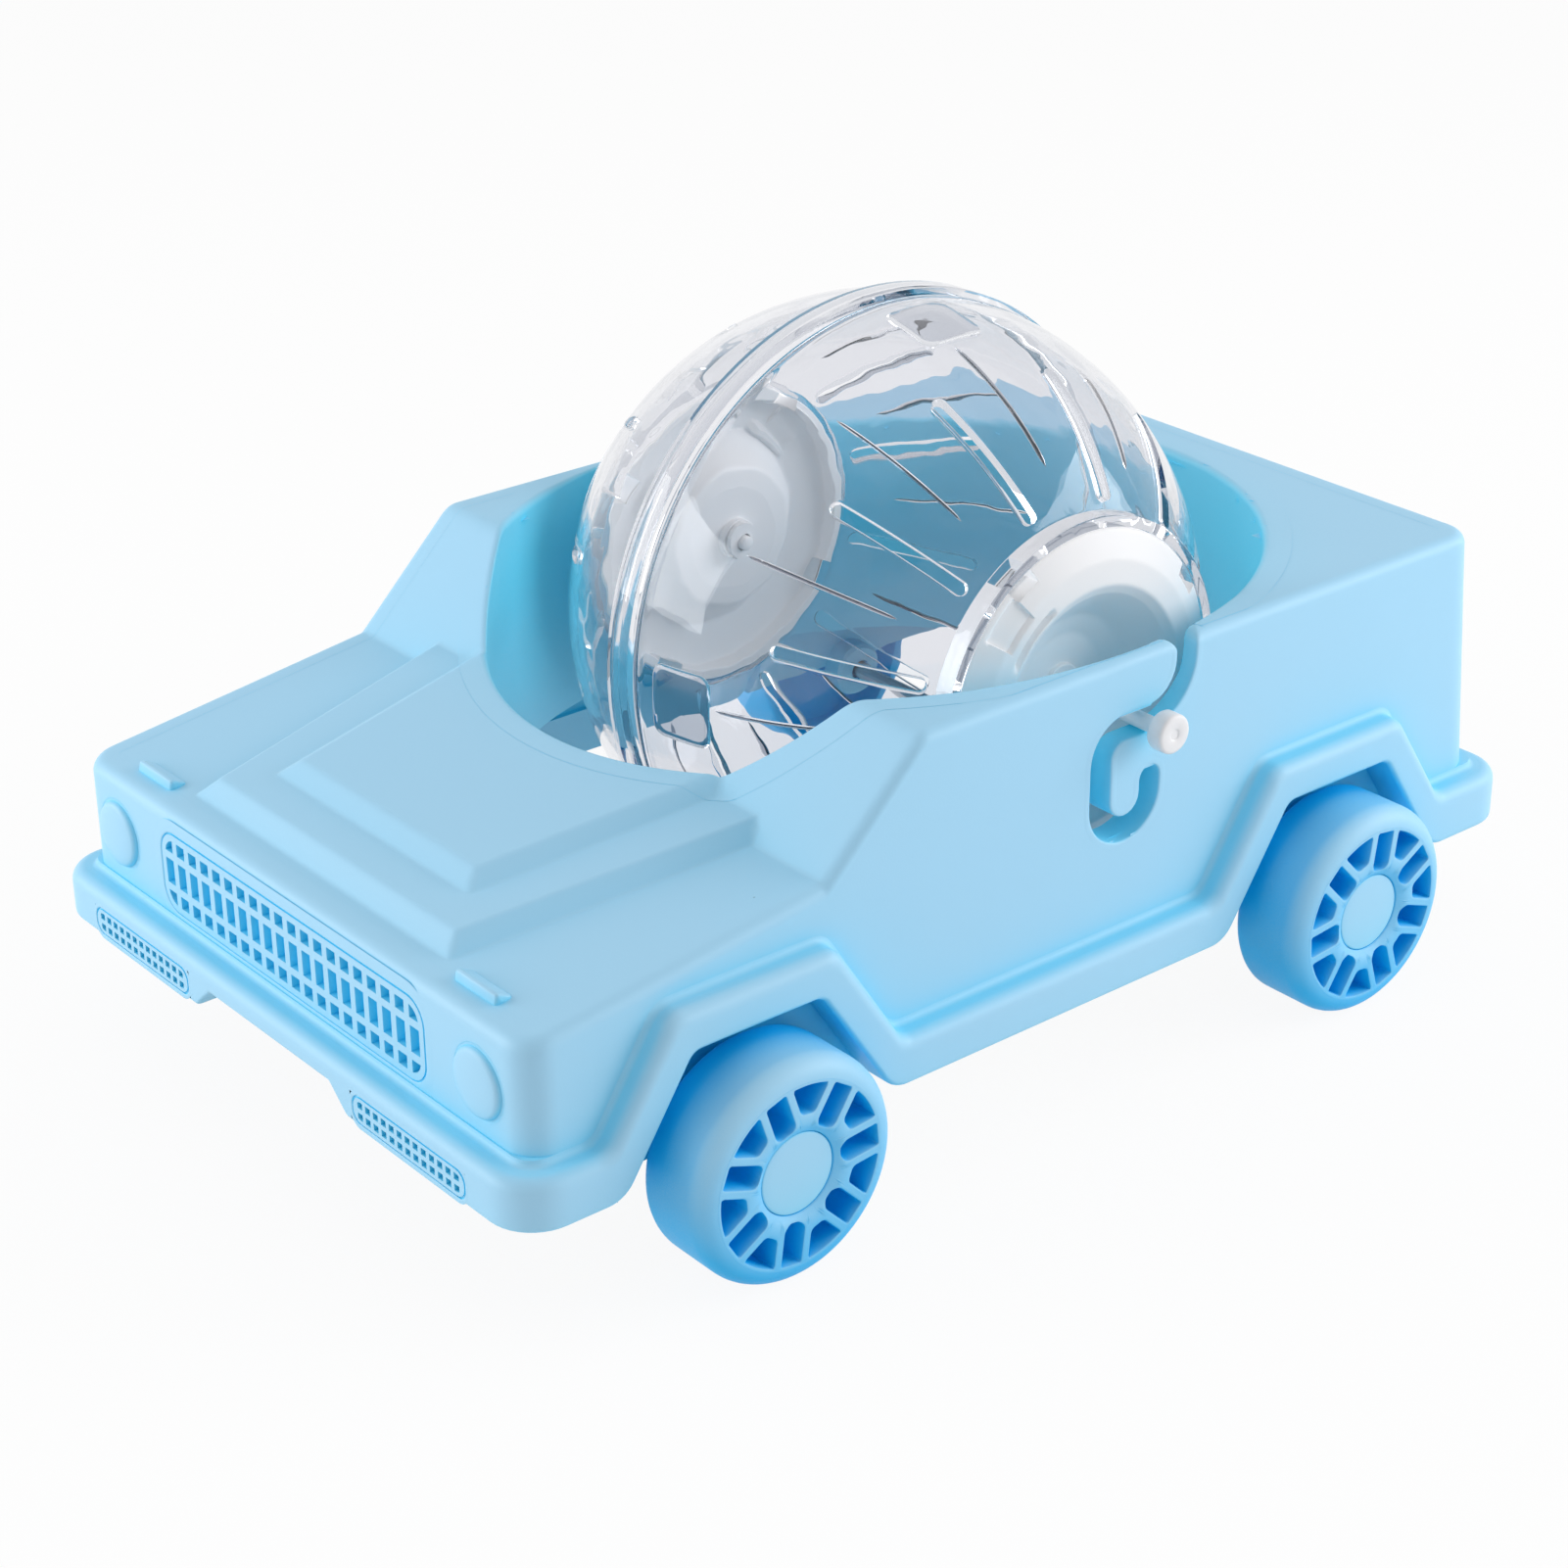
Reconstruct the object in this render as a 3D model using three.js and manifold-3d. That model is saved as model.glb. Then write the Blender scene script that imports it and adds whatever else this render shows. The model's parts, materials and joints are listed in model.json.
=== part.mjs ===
// A clear running ball for a hamster, hung by two axle pins in the well of a toy-car stand.
// Millimetres. X points to the front of the car, Y to its left and Z up. The ground is at Z = 0,
// and the middle of the car's length and width is at X = 0, Y = 0.

import * as THREE from 'three';
import { mergeVertices } from 'three/addons/utils/BufferGeometryUtils.js';
import { ConvexGeometry } from 'three/addons/geometries/ConvexGeometry.js';
import Module from 'manifold-3d';

const wasm = await Module();
wasm.setup();

// Fits
const seatGap = 0.3; // between pieces that rest on or in each other
const runningGap = 0.4; // round or beside something that turns

// Car body
const carLength = 239; // over both bumpers
const wall = 2.2;
const noseSetback = 5.3; // from the bumper's face back to the body's front face
const tailSetback = 5.5; // from the rear bumper's face to the foot of the rear wall
const tailLean = 5.8; // how far the rear wall leans in at its top
const frontFoot = 22.6; // lower edge of the front bumper
const rearFoot = 21.4; // lower edge of the rear bumper
const bonnetFrontHeight = 53.7;
const bonnetRearHeight = 61.8;
const cabHeight = 82.8;
const windscreenSetback = 5.2; // from the well's front end back to the windscreen's foot
const windscreenRun = 21.3; // from the windscreen's foot back to its top
const bodyCornerRadius = 6;
const bodyEdgeRound = 1.8;
const profileRound = 2.6; // where the front, bonnet, windscreen, top and rear meet

// Well that the ball hangs in
const wellLength = 153.6;
const wellWidth = 135.2;
const wellSideWall = 2.4; // between the well and the body's side, where it is thinnest
const rearDeck = 12.7; // from the top of the rear wall to the well
const wellWallFoot = 34.5;

// Skirt band: bumpers, wheel arches and sills
const skirtStandOff = 5; // proud of the body's sides
const skirtRound = 2.6;
const skirtBend = 4.5; // fillets where the band changes direction
const skirtWall = 2.4;
const bumperTop = 32;
const bumperCornerRadius = 9;
const sillFoot = 20.8;
const sillTop = 29.7;
const bumperRaiseHeight = 27.1; // lower edge of the front bumper in the middle
const bumperRaiseWidth = 39;
const bumperRaiseRun = 5; // sideways run of each slanted end of the raised part

// Wheel arches
const archHeight = 44.6;
const archTopWidth = 26.8;
const archFlare = 0.655; // sideways run for each unit of height
const archBandTop = 52.3;
const archBandTopWidth = 34.2;
const archBend = 3;
const lowerBend = 6; // fillets where an arch meets a bumper or a sill

// Wheels and axles
const frontOverhang = 48.3; // from the front bumper's face to the front axle
const rearAxleClearance = 4.8; // between the ball's seam band and the rear axle
const wheelRadius = 20.8;
const wheelWidth = 15.8;
const wheelProud = 15.1; // from the body's side out to a wheel's face
const wheelShoulder = 4;
const wheelInnerShoulder = 2;
const wheelRimWall = 3;
const wheelFaceThickness = 8;
const windowDepth = 7;
const windowCount = 7;
const windowOuterRadius = 16.5;
const windowInnerRadius = 8.8;
const wedgeInnerRadius = 11.4;
const windowWidth = 4.2;
const spokeWidth = 1.6;
const hubRecessRadius = 9.3;
const hubRecessDepth = 1;
const hubCapRadius = 7.3;
const hubCapThickness = 1.2;
const hubBossRadius = 5.5;
const axleRadius = 1.6;
const axleEndCover = 0.4; // between an axle's end and the hub cap over it
const bearingSetback = 3; // from a wheel's inner end to the face of its bearing
const bearingBossRadius = 6;
const bearingBossLength = 4.4;
const frontWindowAngle = 20.7; // degrees from +X towards +Z
const rearWindowAngle = -4.9;

// Ball
const ballSetback = 1.8; // of the ball's axis behind the middle of the well
const ballRadius = 60;
const ballWall = 2;
const pinDrop = 13.6; // from the cab's top down to the axle pins
const seamBandProud = 1.2;
const seamBandWidth = 5.8;
const ballSlotCount = 12;
const ballSlotWidth = 2.6;
const ballSlotStart = 35; // degrees from the pole
const ballSlotEnd = 62;
const ballSlotOffset = 15.5; // degrees from +X towards +Z to the first slot
const collarWall = 1.8;
const collarRise = 3.9; // collar round the pole hole, above the ball's surface

// End caps
const capRadius = 30.9;
const capWall = 2;
const capRimHeight = 5.5; // depth of the cap's outer edge
const capRise = 2.7; // rise of the cap's face from its edge to the dish
const dishRadius = 20.5;
const dishFloorRadius = 10;
const dishDepth = 8.7;
const capHubRadius = 4;
const capHubLength = 6;
const capNotchCount = 4;
const capNotchOffset = 58; // degrees from +X towards +Z
const capNotchWidth = 6;
const capNotchDepth = 2.6;
const capSlitLength = 15;
const capSlitWidth = 1.2;
const capSlitAngle = 38;

// Axle pins
const pinRadius = 1.5;
const knobRadius = 3.7;
const knobThickness = 3.6;
const knobStandOff = 3.4; // gap between the body's side and the knob
const retainerRadius = 3.6;
const retainerThickness = 1.2;
const pinTail = 1.2; // pin beyond its retainer

// J slots that the pins ride in
const slotWidth = 4.9;
const slotEntryRadius = 12; // outside of the curved entry channel
const slotFrontReach = 13.25; // from the pin to the front edge of the front arm
const slotBendRadius = 8.4; // outside of the bend into the front arm
const slotLoopRadius = 8.55; // outside of the loop at the bottom
const slotLoopDrop = 13.2; // from the pin down to the loop's centre
const slotDeadEndDrop = 11.15; // from the pin down to the centre of the rear arm's end
const slotMouthRound = 2.2;
const slotPadSlope = 0.13; // how far the pad round a slot stands into the well for each unit of depth

// Front panels and trim
const grilleHeight = 41.9; // middle of the grille
const grilleWidth = 83.4;
const grilleTall = 15.6;
const grilleCorner = 4.4;
const grilleColumns = 20;
const grilleBorder = 1.3;
const grilleBar = 1.5;
const grilleShortRow = 2.5;
const fogHeight = 26;
const fogInset = 26.8; // from the body's side to a fog panel's middle
const fogWidth = 32.4;
const fogTall = 4.9;
const fogColumns = 13;
const fogBorder = 0.7;
const fogBar = 0.9;
const lampInset = 12.8; // from the body's side to a lamp's middle
const lampHeight = 42.5;
const lampRadius = 6.2;
const lampDome = 1.3;
const barInset = 19.4; // from the body's side to a bar's middle
const barLength = 11.5;
const barSetback = 6; // behind the body's front face
const barWidth = 3.2;
const barHeight = 1.9;
const stepChamfer = 3.6;
const outerStep = { setback: 6.8, frontWidth: 80, rearWidth: 103, base: 0, height: 2.9 };
const innerStep = { setback: 17.8, frontWidth: 60, rearWidth: 76, base: 2.9, height: 2.4 };

// Places that follow from the sizes above
const bodySide = wellWidth / 2 + wellSideWall;
const skirtSide = bodySide + skirtStandOff;
const noseX = carLength / 2 - noseSetback;
const tailX = -carLength / 2 + tailSetback;
const wellX = tailX + tailLean + rearDeck + wellLength / 2;
const windscreenFootX = wellX + wellLength / 2 - windscreenSetback;
const windscreenTopX = windscreenFootX - windscreenRun;
const ballX = wellX - ballSetback;
const pinHeight = cabHeight - pinDrop;
const frontAxleX = carLength / 2 - frontOverhang;
const rearAxleReach = ballRadius + seamBandProud + rearAxleClearance + axleRadius;
const rearAxleX = ballX - Math.sqrt(rearAxleReach ** 2 - (pinHeight - wheelRadius) ** 2);
const lampOffset = bodySide - lampInset;
const barOffset = bodySide - barInset;
const fogOffset = bodySide - fogInset;
const wheelFaceY = bodySide + wheelProud;
const wheelInnerY = wheelFaceY - wheelWidth;
const bearingFaceY = wheelInnerY - bearingSetback;
const pinRideRadius = slotEntryRadius - seatGap - pinRadius;
const slotPivotHeight = pinHeight + pinRideRadius;
const far = 400; // longer than anything that is cut
const degree = Math.PI / 180;

// A geometry as a solid. Collapsed triangles at poles are dropped, and one drawn inside out is turned.
function solid(geometry) {
  const bare = geometry.clone();
  bare.deleteAttribute('normal');
  bare.deleteAttribute('uv');
  const merged = mergeVertices(bare, 1e-4);
  const place = merged.attributes.position;
  const corner = [new THREE.Vector3(), new THREE.Vector3(), new THREE.Vector3()];
  const triangles = [];
  let volume = 0;
  for (let i = 0; i < merged.index.count; i += 3) {
    const abc = [merged.index.getX(i), merged.index.getX(i + 1), merged.index.getX(i + 2)];
    if (new Set(abc).size < 3) continue;
    abc.forEach((vertex, n) => corner[n].fromBufferAttribute(place, vertex));
    volume += corner[0].dot(corner[1].clone().cross(corner[2]));
    triangles.push(abc);
  }
  if (volume < 0) triangles.forEach((abc) => abc.reverse());
  const triVerts = Uint32Array.from(triangles.flat());
  const vertProperties = Float32Array.from(place.array);
  return new wasm.Manifold(new wasm.Mesh({ numProp: 3, vertProperties, triVerts }));
}

function join(...solids) {
  return solids.reduce((whole, next) => whole.add(next));
}

function cut(whole, ...tools) {
  return tools.reduce((left, tool) => left.subtract(tool), whole);
}

function shared(a, b) {
  return a.intersect(b);
}

function geometryOf(made) {
  const mesh = made.getMesh();
  const geometry = new THREE.BufferGeometry();
  geometry.setAttribute('position', new THREE.BufferAttribute(Float32Array.from(mesh.vertProperties), 3));
  geometry.setIndex(new THREE.BufferAttribute(Uint32Array.from(mesh.triVerts), 1));
  geometry.computeVertexNormals();
  return geometry;
}

// A closed outline through corners, each given as [u, v] or [u, v, radius of its fillet].
function outline(corners) {
  const shape = new THREE.Shape();
  corners.forEach(([u, v, radius = 0], n) => {
    const here = new THREE.Vector2(u, v);
    const before = new THREE.Vector2(...corners.at(n - 1)).sub(here).normalize();
    const after = new THREE.Vector2(...corners[(n + 1) % corners.length]).sub(here).normalize();
    const turn = after.cross(before);
    const reach = radius / Math.tan(Math.acos(THREE.MathUtils.clamp(before.dot(after), -1, 1)) / 2);
    const start = here.clone().addScaledVector(before, reach);
    const end = here.clone().addScaledVector(after, reach);
    if (n === 0) shape.moveTo(start.x, start.y);
    else shape.lineTo(start.x, start.y);
    if (radius === 0) return;
    const middle = before.clone().add(after).setLength(Math.hypot(radius, reach)).add(here);
    const from = start.clone().sub(middle).angle();
    const to = end.clone().sub(middle).angle();
    shape.absarc(middle.x, middle.y, radius, from, to, turn < 0);
  });
  shape.closePath();
  return shape;
}

// The same corners moved inwards by a distance; fillets are given again by the caller.
function inset(corners, distance) {
  const line = corners.map(([u, v], n) => {
    const [nextU, nextV] = corners[(n + 1) % corners.length];
    const along = new THREE.Vector2(nextU - u, nextV - v).normalize();
    const inwards = new THREE.Vector2(-along.y, along.x).multiplyScalar(distance);
    return { from: new THREE.Vector2(u, v).add(inwards), along };
  });
  return corners.map((_, n) => {
    const a = line.at(n - 1);
    const b = line[n];
    const reach = b.from.clone().sub(a.from).cross(b.along) / a.along.cross(b.along);
    const met = a.from.clone().addScaledVector(a.along, reach);
    return [met.x, met.y];
  });
}

function roundedRectangle(u0, u1, v0, v1, radius) {
  return outline([[u0, v0, radius], [u1, v0, radius], [u1, v1, radius], [u0, v1, radius]]);
}

// An outline pushed along an axis. It is drawn in XY for z, in XZ for y and in YZ for x.
const axisFrames = {
  x: [[0, 1, 0], [0, 0, 1], [1, 0, 0]],
  y: [[1, 0, 0], [0, 0, 1], [0, -1, 0]],
  z: [[1, 0, 0], [0, 1, 0], [0, 0, 1]],
};

function prism(shape, axis, from, to, { round = 0, arcSteps = 2 } = {}) {
  const geometry = new THREE.ExtrudeGeometry(shape, {
    depth: to - from - 2 * round,
    curveSegments: arcSteps,
    bevelEnabled: round > 0,
    bevelThickness: round,
    bevelSize: round,
    bevelOffset: -round,
    bevelSegments: 3,
  });
  geometry.translate(0, 0, axis === 'y' ? round - to : from + round);
  const frame = axisFrames[axis].map((column) => new THREE.Vector3(...column));
  geometry.applyMatrix4(new THREE.Matrix4().makeBasis(...frame));
  return solid(geometry);
}

function block(x0, x1, y0, y1, z0, z1) {
  const geometry = new THREE.BoxGeometry(x1 - x0, y1 - y0, z1 - z0);
  geometry.translate((x0 + x1) / 2, (y0 + y1) / 2, (z0 + z1) / 2);
  return solid(geometry);
}

// A profile of [radius, place along Y] turned about the Y axis.
function turned(profile, segments) {
  const closed = [...profile, profile[0]].map(([radius, y]) => new THREE.Vector2(radius, y));
  return solid(new THREE.LatheGeometry(closed, segments));
}

// Points of an arc on a turned profile, by angle from the radius direction towards +Y.
function arc(radius, y, bend, from, to, steps) {
  return Array.from({ length: steps + 1 }, (_, n) => {
    const angle = (from + ((to - from) * n) / steps) * degree;
    return [radius + bend * Math.cos(angle), y + bend * Math.sin(angle)];
  });
}

function spunAboutY(made, angle) {
  return made.rotate([0, -angle, 0]);
}

// Body outlines seen from the side, drawn from the tail's foot round to the nose.
const sideCorners = [
  [tailX, sillFoot],
  [noseX, sillFoot],
  [noseX, bonnetFrontHeight],
  [windscreenFootX, bonnetRearHeight],
  [windscreenTopX, cabHeight],
  [tailX + tailLean, cabHeight],
];

function withFillets(corners, radius) {
  return corners.map(([u, v], n) => (n < 2 ? [u, v] : [u, v, radius]));
}

function archOutline(axleX, foot, grow = 0) {
  const half = archTopWidth / 2 + grow;
  const top = archHeight + grow;
  const footHalf = half + (top - foot) * archFlare;
  const bend = archBend + grow;
  return [
    [axleX - footHalf, foot],
    [axleX + footHalf, foot],
    [axleX + half, top, bend],
    [axleX - half, top, bend],
  ];
}

// Upper edge of the skirt band on the car's side, with fillets, from front to rear.
function skirtUpperEdge() {
  const half = archBandTopWidth / 2;
  const footAt = (height) => half + (archBandTop - height) * archFlare;
  const archAt = (axleX, frontHeight, rearHeight) => [
    [axleX + footAt(frontHeight), frontHeight, skirtBend],
    [axleX + half, archBandTop, skirtBend],
    [axleX - half, archBandTop, skirtBend],
    [axleX - footAt(rearHeight), rearHeight, skirtBend],
  ];
  return [...archAt(frontAxleX, bumperTop, sillTop), ...archAt(rearAxleX, sillTop, bumperTop)];
}

function skirt() {
  const cornerX = carLength / 2 - bumperCornerRadius;
  const below = sillFoot - 4 * skirtRound;
  const band = outline([
    [-cornerX, below],
    [cornerX, below],
    [cornerX, bumperTop],
    ...skirtUpperEdge(),
    [-cornerX, bumperTop],
  ]);
  const inner = bodySide - wall;
  const left = prism(band, 'y', inner - skirtRound, skirtSide, { round: skirtRound });
  const right = prism(band, 'y', -skirtSide, -inner + skirtRound, { round: skirtRound });
  const half = carLength / 2;
  const plan = roundedRectangle(-half, half, -skirtSide, skirtSide, bumperCornerRadius);
  const ring = prism(plan, 'z', below, bumperTop, { round: skirtRound, arcSteps: 4 });
  const overlapX = cornerX - skirtBend;
  const ends = cut(ring, block(-overlapX, overlapX, -far, far, -far, far));
  return join(left, right, ends);
}

// Everything below the car's lower edge: under the bumpers and sills, in the arches and under
// the raised front.
function belowLowerEdge() {
  const half = archTopWidth / 2;
  const footAt = (height) => half + (archHeight - height) * archFlare;
  const archAt = (axleX, frontHeight, rearHeight) => [
    [axleX + footAt(frontHeight), frontHeight, lowerBend],
    [axleX + half, archHeight, archBend],
    [axleX - half, archHeight, archBend],
    [axleX - footAt(rearHeight), rearHeight, lowerBend],
  ];
  const edge = outline([
    [-far, -far],
    [far, -far],
    [far, frontFoot],
    ...archAt(frontAxleX, frontFoot, sillFoot),
    ...archAt(rearAxleX, sillFoot, rearFoot),
    [-far, rearFoot],
  ]);
  const raise = bumperRaiseWidth / 2;
  const raised = outline([
    [-raise - bumperRaiseRun, frontFoot - bumperRaiseRun],
    [raise + bumperRaiseRun, frontFoot - bumperRaiseRun],
    [raise + bumperRaiseRun, frontFoot, 2],
    [raise, bumperRaiseHeight, 2],
    [-raise, bumperRaiseHeight, 2],
    [-raise - bumperRaiseRun, frontFoot, 2],
  ]);
  return join(prism(edge, 'y', -far, far), prism(raised, 'x', frontAxleX, far));
}

// The J slot seen from the side, round the place of the pin.
function slotOutline() {
  const inner = slotEntryRadius - slotWidth;
  const pivot = pinRideRadius;
  const top = cabHeight - pinHeight;
  const bendX = slotFrontReach - slotBendRadius;
  const bendZ = pivot - inner - slotBendRadius;
  const loopX = slotFrontReach - slotLoopRadius;
  const loopInner = slotLoopRadius - slotWidth;
  const round = slotMouthRound;
  const right = Math.PI / 2;
  const shape = new THREE.Shape();
  shape.moveTo(-slotEntryRadius - round, top + round);
  shape.lineTo(-slotEntryRadius - round, top);
  shape.absarc(-slotEntryRadius - round, top - round, round, right, 0, true);
  shape.absarc(0, pivot, slotEntryRadius, 2 * right, 3 * right, false);
  shape.absarc(bendX, bendZ, slotBendRadius - slotWidth, right, 0, true);
  shape.absarc(loopX, -slotLoopDrop, loopInner, 0, -2 * right, true);
  shape.absarc(loopX - loopInner - slotWidth / 2, -slotDeadEndDrop, slotWidth / 2, 0, 2 * right, false);
  shape.absarc(loopX, -slotLoopDrop, slotLoopRadius, 2 * right, 4 * right, false);
  shape.absarc(bendX, bendZ, slotBendRadius, 0, right, false);
  shape.absarc(0, pivot, inner, 3 * right, 2 * right, true);
  shape.absarc(-inner + round, top - round, round, 2 * right, right, true);
  shape.lineTo(-inner + round, top + round);
  shape.closePath();
  return shape;
}

// A raised step of the bonnet: a wide foot in the bonnet and a smaller top, both sloping with the bonnet.
function bonnetStep({ setback, frontWidth, rearWidth, base, height }) {
  const front = noseX - windscreenFootX - setback;
  const slope = (bonnetRearHeight - bonnetFrontHeight) / (noseX - windscreenFootX);
  const buried = wall / 2;
  const rear = -height - base - 1;
  const points = [];
  const levels = [[base - buried, -stepChamfer * (buried / height)], [base + height, stepChamfer]];
  for (const [lift, pulled] of levels) {
    for (const side of [-1, 1]) {
      const frontX = front - pulled;
      const ends = [[frontX, frontWidth / 2 - pulled], [rear, rearWidth / 2 - pulled]];
      for (const [x, y] of ends) {
        points.push(new THREE.Vector3(windscreenFootX + x, side * y, bonnetRearHeight - slope * x + lift));
      }
    }
  }
  return solid(new ConvexGeometry(points));
}

function lamp(side) {
  const sphere = (lampRadius ** 2 + lampDome ** 2) / (2 * lampDome);
  const half = Math.asin(lampRadius / sphere) / degree;
  const dome = arc(0, lampDome - sphere, sphere, 90 - half, 90, 4);
  const made = turned([[0, -wall / 2], [lampRadius, -wall / 2], ...dome], 32);
  return made.rotate([0, 0, -90]).translate([noseX, side * lampOffset, lampHeight]);
}

function bonnetBar(side) {
  const x = noseX - barSetback;
  const slope = (bonnetRearHeight - bonnetFrontHeight) / (noseX - windscreenFootX);
  const z = bonnetFrontHeight + slope * barSetback;
  const corners = [
    [x - barWidth / 2, z - wall / 2],
    [x + barWidth / 2, z - wall / 2],
    [x + barWidth / 2, z],
    [x + barWidth / 2 - 0.4, z + barHeight],
    [x - barWidth / 2, z + slope * barWidth],
  ];
  const middle = side * barOffset;
  return prism(outline(corners), 'y', middle - barLength / 2, middle + barLength / 2);
}

// The well's ellipse from a height up, grown by a distance.
function wellPrism(grow, foot) {
  const shape = new THREE.Shape();
  shape.absellipse(wellX, 0, wellLength / 2 + grow, wellWidth / 2 + grow, 0, 2 * Math.PI, false, 0);
  return prism(shape, 'z', foot, far, { arcSteps: 26 });
}

// The thick pad round a slot. Its inner face meets the well's side at the deck and stands further into the well
// below, so that the slot's walls are deep.
function slotPad(side) {
  const foot = pinHeight - slotLoopDrop - slotLoopRadius - wall;
  const edge = wellWidth / 2;
  const section = outline([
    [side * bodySide, foot],
    [side * bodySide, cabHeight],
    [side * edge, cabHeight],
    [side * (edge - slotPadSlope * (cabHeight - foot)), foot],
  ]);
  const rear = ballX - slotEntryRadius - slotMouthRound - wall;
  return prism(section, 'x', rear, ballX + slotFrontReach + wall);
}

// A wheel box with the bearing boss that its axle turns in, and the room that is cut out of it.
function wheelBox(axleX, side) {
  const span = (a, b) => (side > 0 ? [a, b] : [-b, -a]);
  const walls = outline(archOutline(axleX, frontFoot + lowerBend, wall));
  const around = prism(walls, 'y', ...span(bearingFaceY - wall, bodySide - wall / 2));
  const panel = outline(archOutline(axleX, frontFoot, wall));
  const back = prism(panel, 'y', ...span(bearingFaceY - wall, bearingFaceY));
  const boss = new THREE.CylinderGeometry(bearingBossRadius, bearingBossRadius, bearingBossLength, 24);
  boss.translate(axleX, side * (bearingFaceY - bearingBossLength / 2), wheelRadius);
  return join(around, back, solid(boss));
}

function wheelRoom(axleX, side) {
  const span = (a, b) => (side > 0 ? [a, b] : [-b, -a]);
  return prism(outline(archOutline(axleX, -far / 10)), 'y', ...span(bearingFaceY, far));
}

function axleBore(axleX) {
  const bore = axleRadius + runningGap;
  const geometry = new THREE.CylinderGeometry(bore, bore, far, 20);
  geometry.translate(axleX, 0, wheelRadius);
  return solid(geometry);
}

function grilleHole(grow = 0) {
  const half = grilleWidth / 2 + grow;
  const tall = grilleTall / 2 + grow;
  return roundedRectangle(-half, half, grilleHeight - tall, grilleHeight + tall, grilleCorner + grow);
}

function fogHole(side, grow = 0) {
  const middle = side * fogOffset;
  const half = fogWidth / 2 + grow;
  const tall = fogTall / 2 + grow;
  return roundedRectangle(middle - half, middle + half, fogHeight - tall, fogHeight + tall, tall * 0.9);
}

function carBody() {
  const sideShape = outline(withFillets(sideCorners, profileRound));
  const side = prism(sideShape, 'y', -bodySide, bodySide, { round: bodyEdgeRound });
  const plan = roundedRectangle(tailX, noseX, -bodySide, bodySide, bodyCornerRadius);
  const upper = shared(side, prism(plan, 'z', 0, far, { arcSteps: 3 }));
  const outside = cut(join(upper, skirt()), belowLowerEdge());

  const innerSide = bodySide - wall;
  const hollowCorners = inset(sideCorners, wall);
  hollowCorners[0][1] = -far;
  hollowCorners[1][1] = -far;
  const innerCorner = bodyCornerRadius - wall;
  const hollowPlan = roundedRectangle(tailX + wall, noseX - wall, -innerSide, innerSide, innerCorner);
  const hollow = shared(
    prism(outline(hollowCorners), 'y', -innerSide, innerSide),
    prism(hollowPlan, 'z', -far, far),
  );
  const skirtInner = skirtSide - skirtWall;
  const endInner = carLength / 2 - skirtWall;
  const bumperCorner = bumperCornerRadius - skirtWall;
  const bumperPlan = roundedRectangle(-endInner, endInner, -skirtInner, skirtInner, bumperCorner);
  const cornerX = carLength / 2 - bumperCornerRadius - skirtBend;
  const bumperHollow = cut(
    prism(bumperPlan, 'z', -far, bumperTop - skirtWall),
    block(-cornerX, cornerX, -far, far, -2 * far, far),
  );
  const sillEnd = archTopWidth / 2 + (archHeight - sillFoot) * archFlare + 2 * wall;
  const sillHollow = block(
    rearAxleX + sillEnd, frontAxleX - sillEnd, -skirtInner, skirtInner, -far, sillTop - skirtWall,
  );

  const wellWall = shared(wellPrism(wall, wellWallFoot), side);
  const slotPads = shared(join(slotPad(1), slotPad(-1)), side);
  const steps = join(bonnetStep(outerStep), bonnetStep(innerStep));
  const shell = join(cut(outside, hollow, bumperHollow, sillHollow), wellWall, steps);
  const opened = cut(shell, wellPrism(0, 0));

  const axles = [frontAxleX, rearAxleX];
  const boxes = axles.flatMap((x) => [wheelBox(x, 1), wheelBox(x, -1)]);
  const rooms = axles.flatMap((x) => [wheelRoom(x, 1), wheelRoom(x, -1)]);
  const trim = [1, -1].flatMap((s) => [lamp(s), bonnetBar(s)]);
  const slot = prism(slotOutline(), 'y', -far, far, { arcSteps: 6 }).translate([ballX, 0, pinHeight]);
  return cut(
    join(opened, slotPads, ...boxes, ...trim),
    ...rooms,
    ...axles.map(axleBore),
    slot,
    prism(grilleHole(seatGap), 'x', noseX - 2 * wall, far, { arcSteps: 3 }),
    prism(fogHole(1, seatGap), 'x', carLength / 2 - 2 * skirtWall, far),
    prism(fogHole(-1, seatGap), 'x', carLength / 2 - 2 * skirtWall, far),
  );
}

// Rows and columns of square outlines. Rows are given by their lower and upper edges.
function openings(columns, from, to, bar, rows) {
  const pitch = (to - from + bar) / columns;
  return rows.flatMap(([low, high]) =>
    Array.from({ length: columns }, (_, n) => {
      const left = from + n * pitch;
      const right = left + pitch - bar;
      return outline([[left, low], [right, low], [right, high], [left, high]]);
    }));
}

function frontGrille() {
  const half = grilleWidth / 2 - grilleBorder;
  const low = grilleHeight - grilleTall / 2 + grilleBorder;
  const high = grilleHeight + grilleTall / 2 - grilleBorder;
  const rows = [
    [low, low + grilleShortRow],
    [low + grilleShortRow + grilleBar, high - grilleShortRow - grilleBar],
    [high - grilleShortRow, high],
  ];
  const plate = prism(grilleHole(), 'x', noseX - wall, noseX, { arcSteps: 3 });
  const squares = openings(grilleColumns, -half, half, grilleBar, rows);
  const holes = prism(squares, 'x', noseX - 2 * wall, noseX + wall);
  return cut(plate, shared(holes, prism(grilleHole(-grilleBorder), 'x', 0, far, { arcSteps: 3 })));
}

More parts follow.
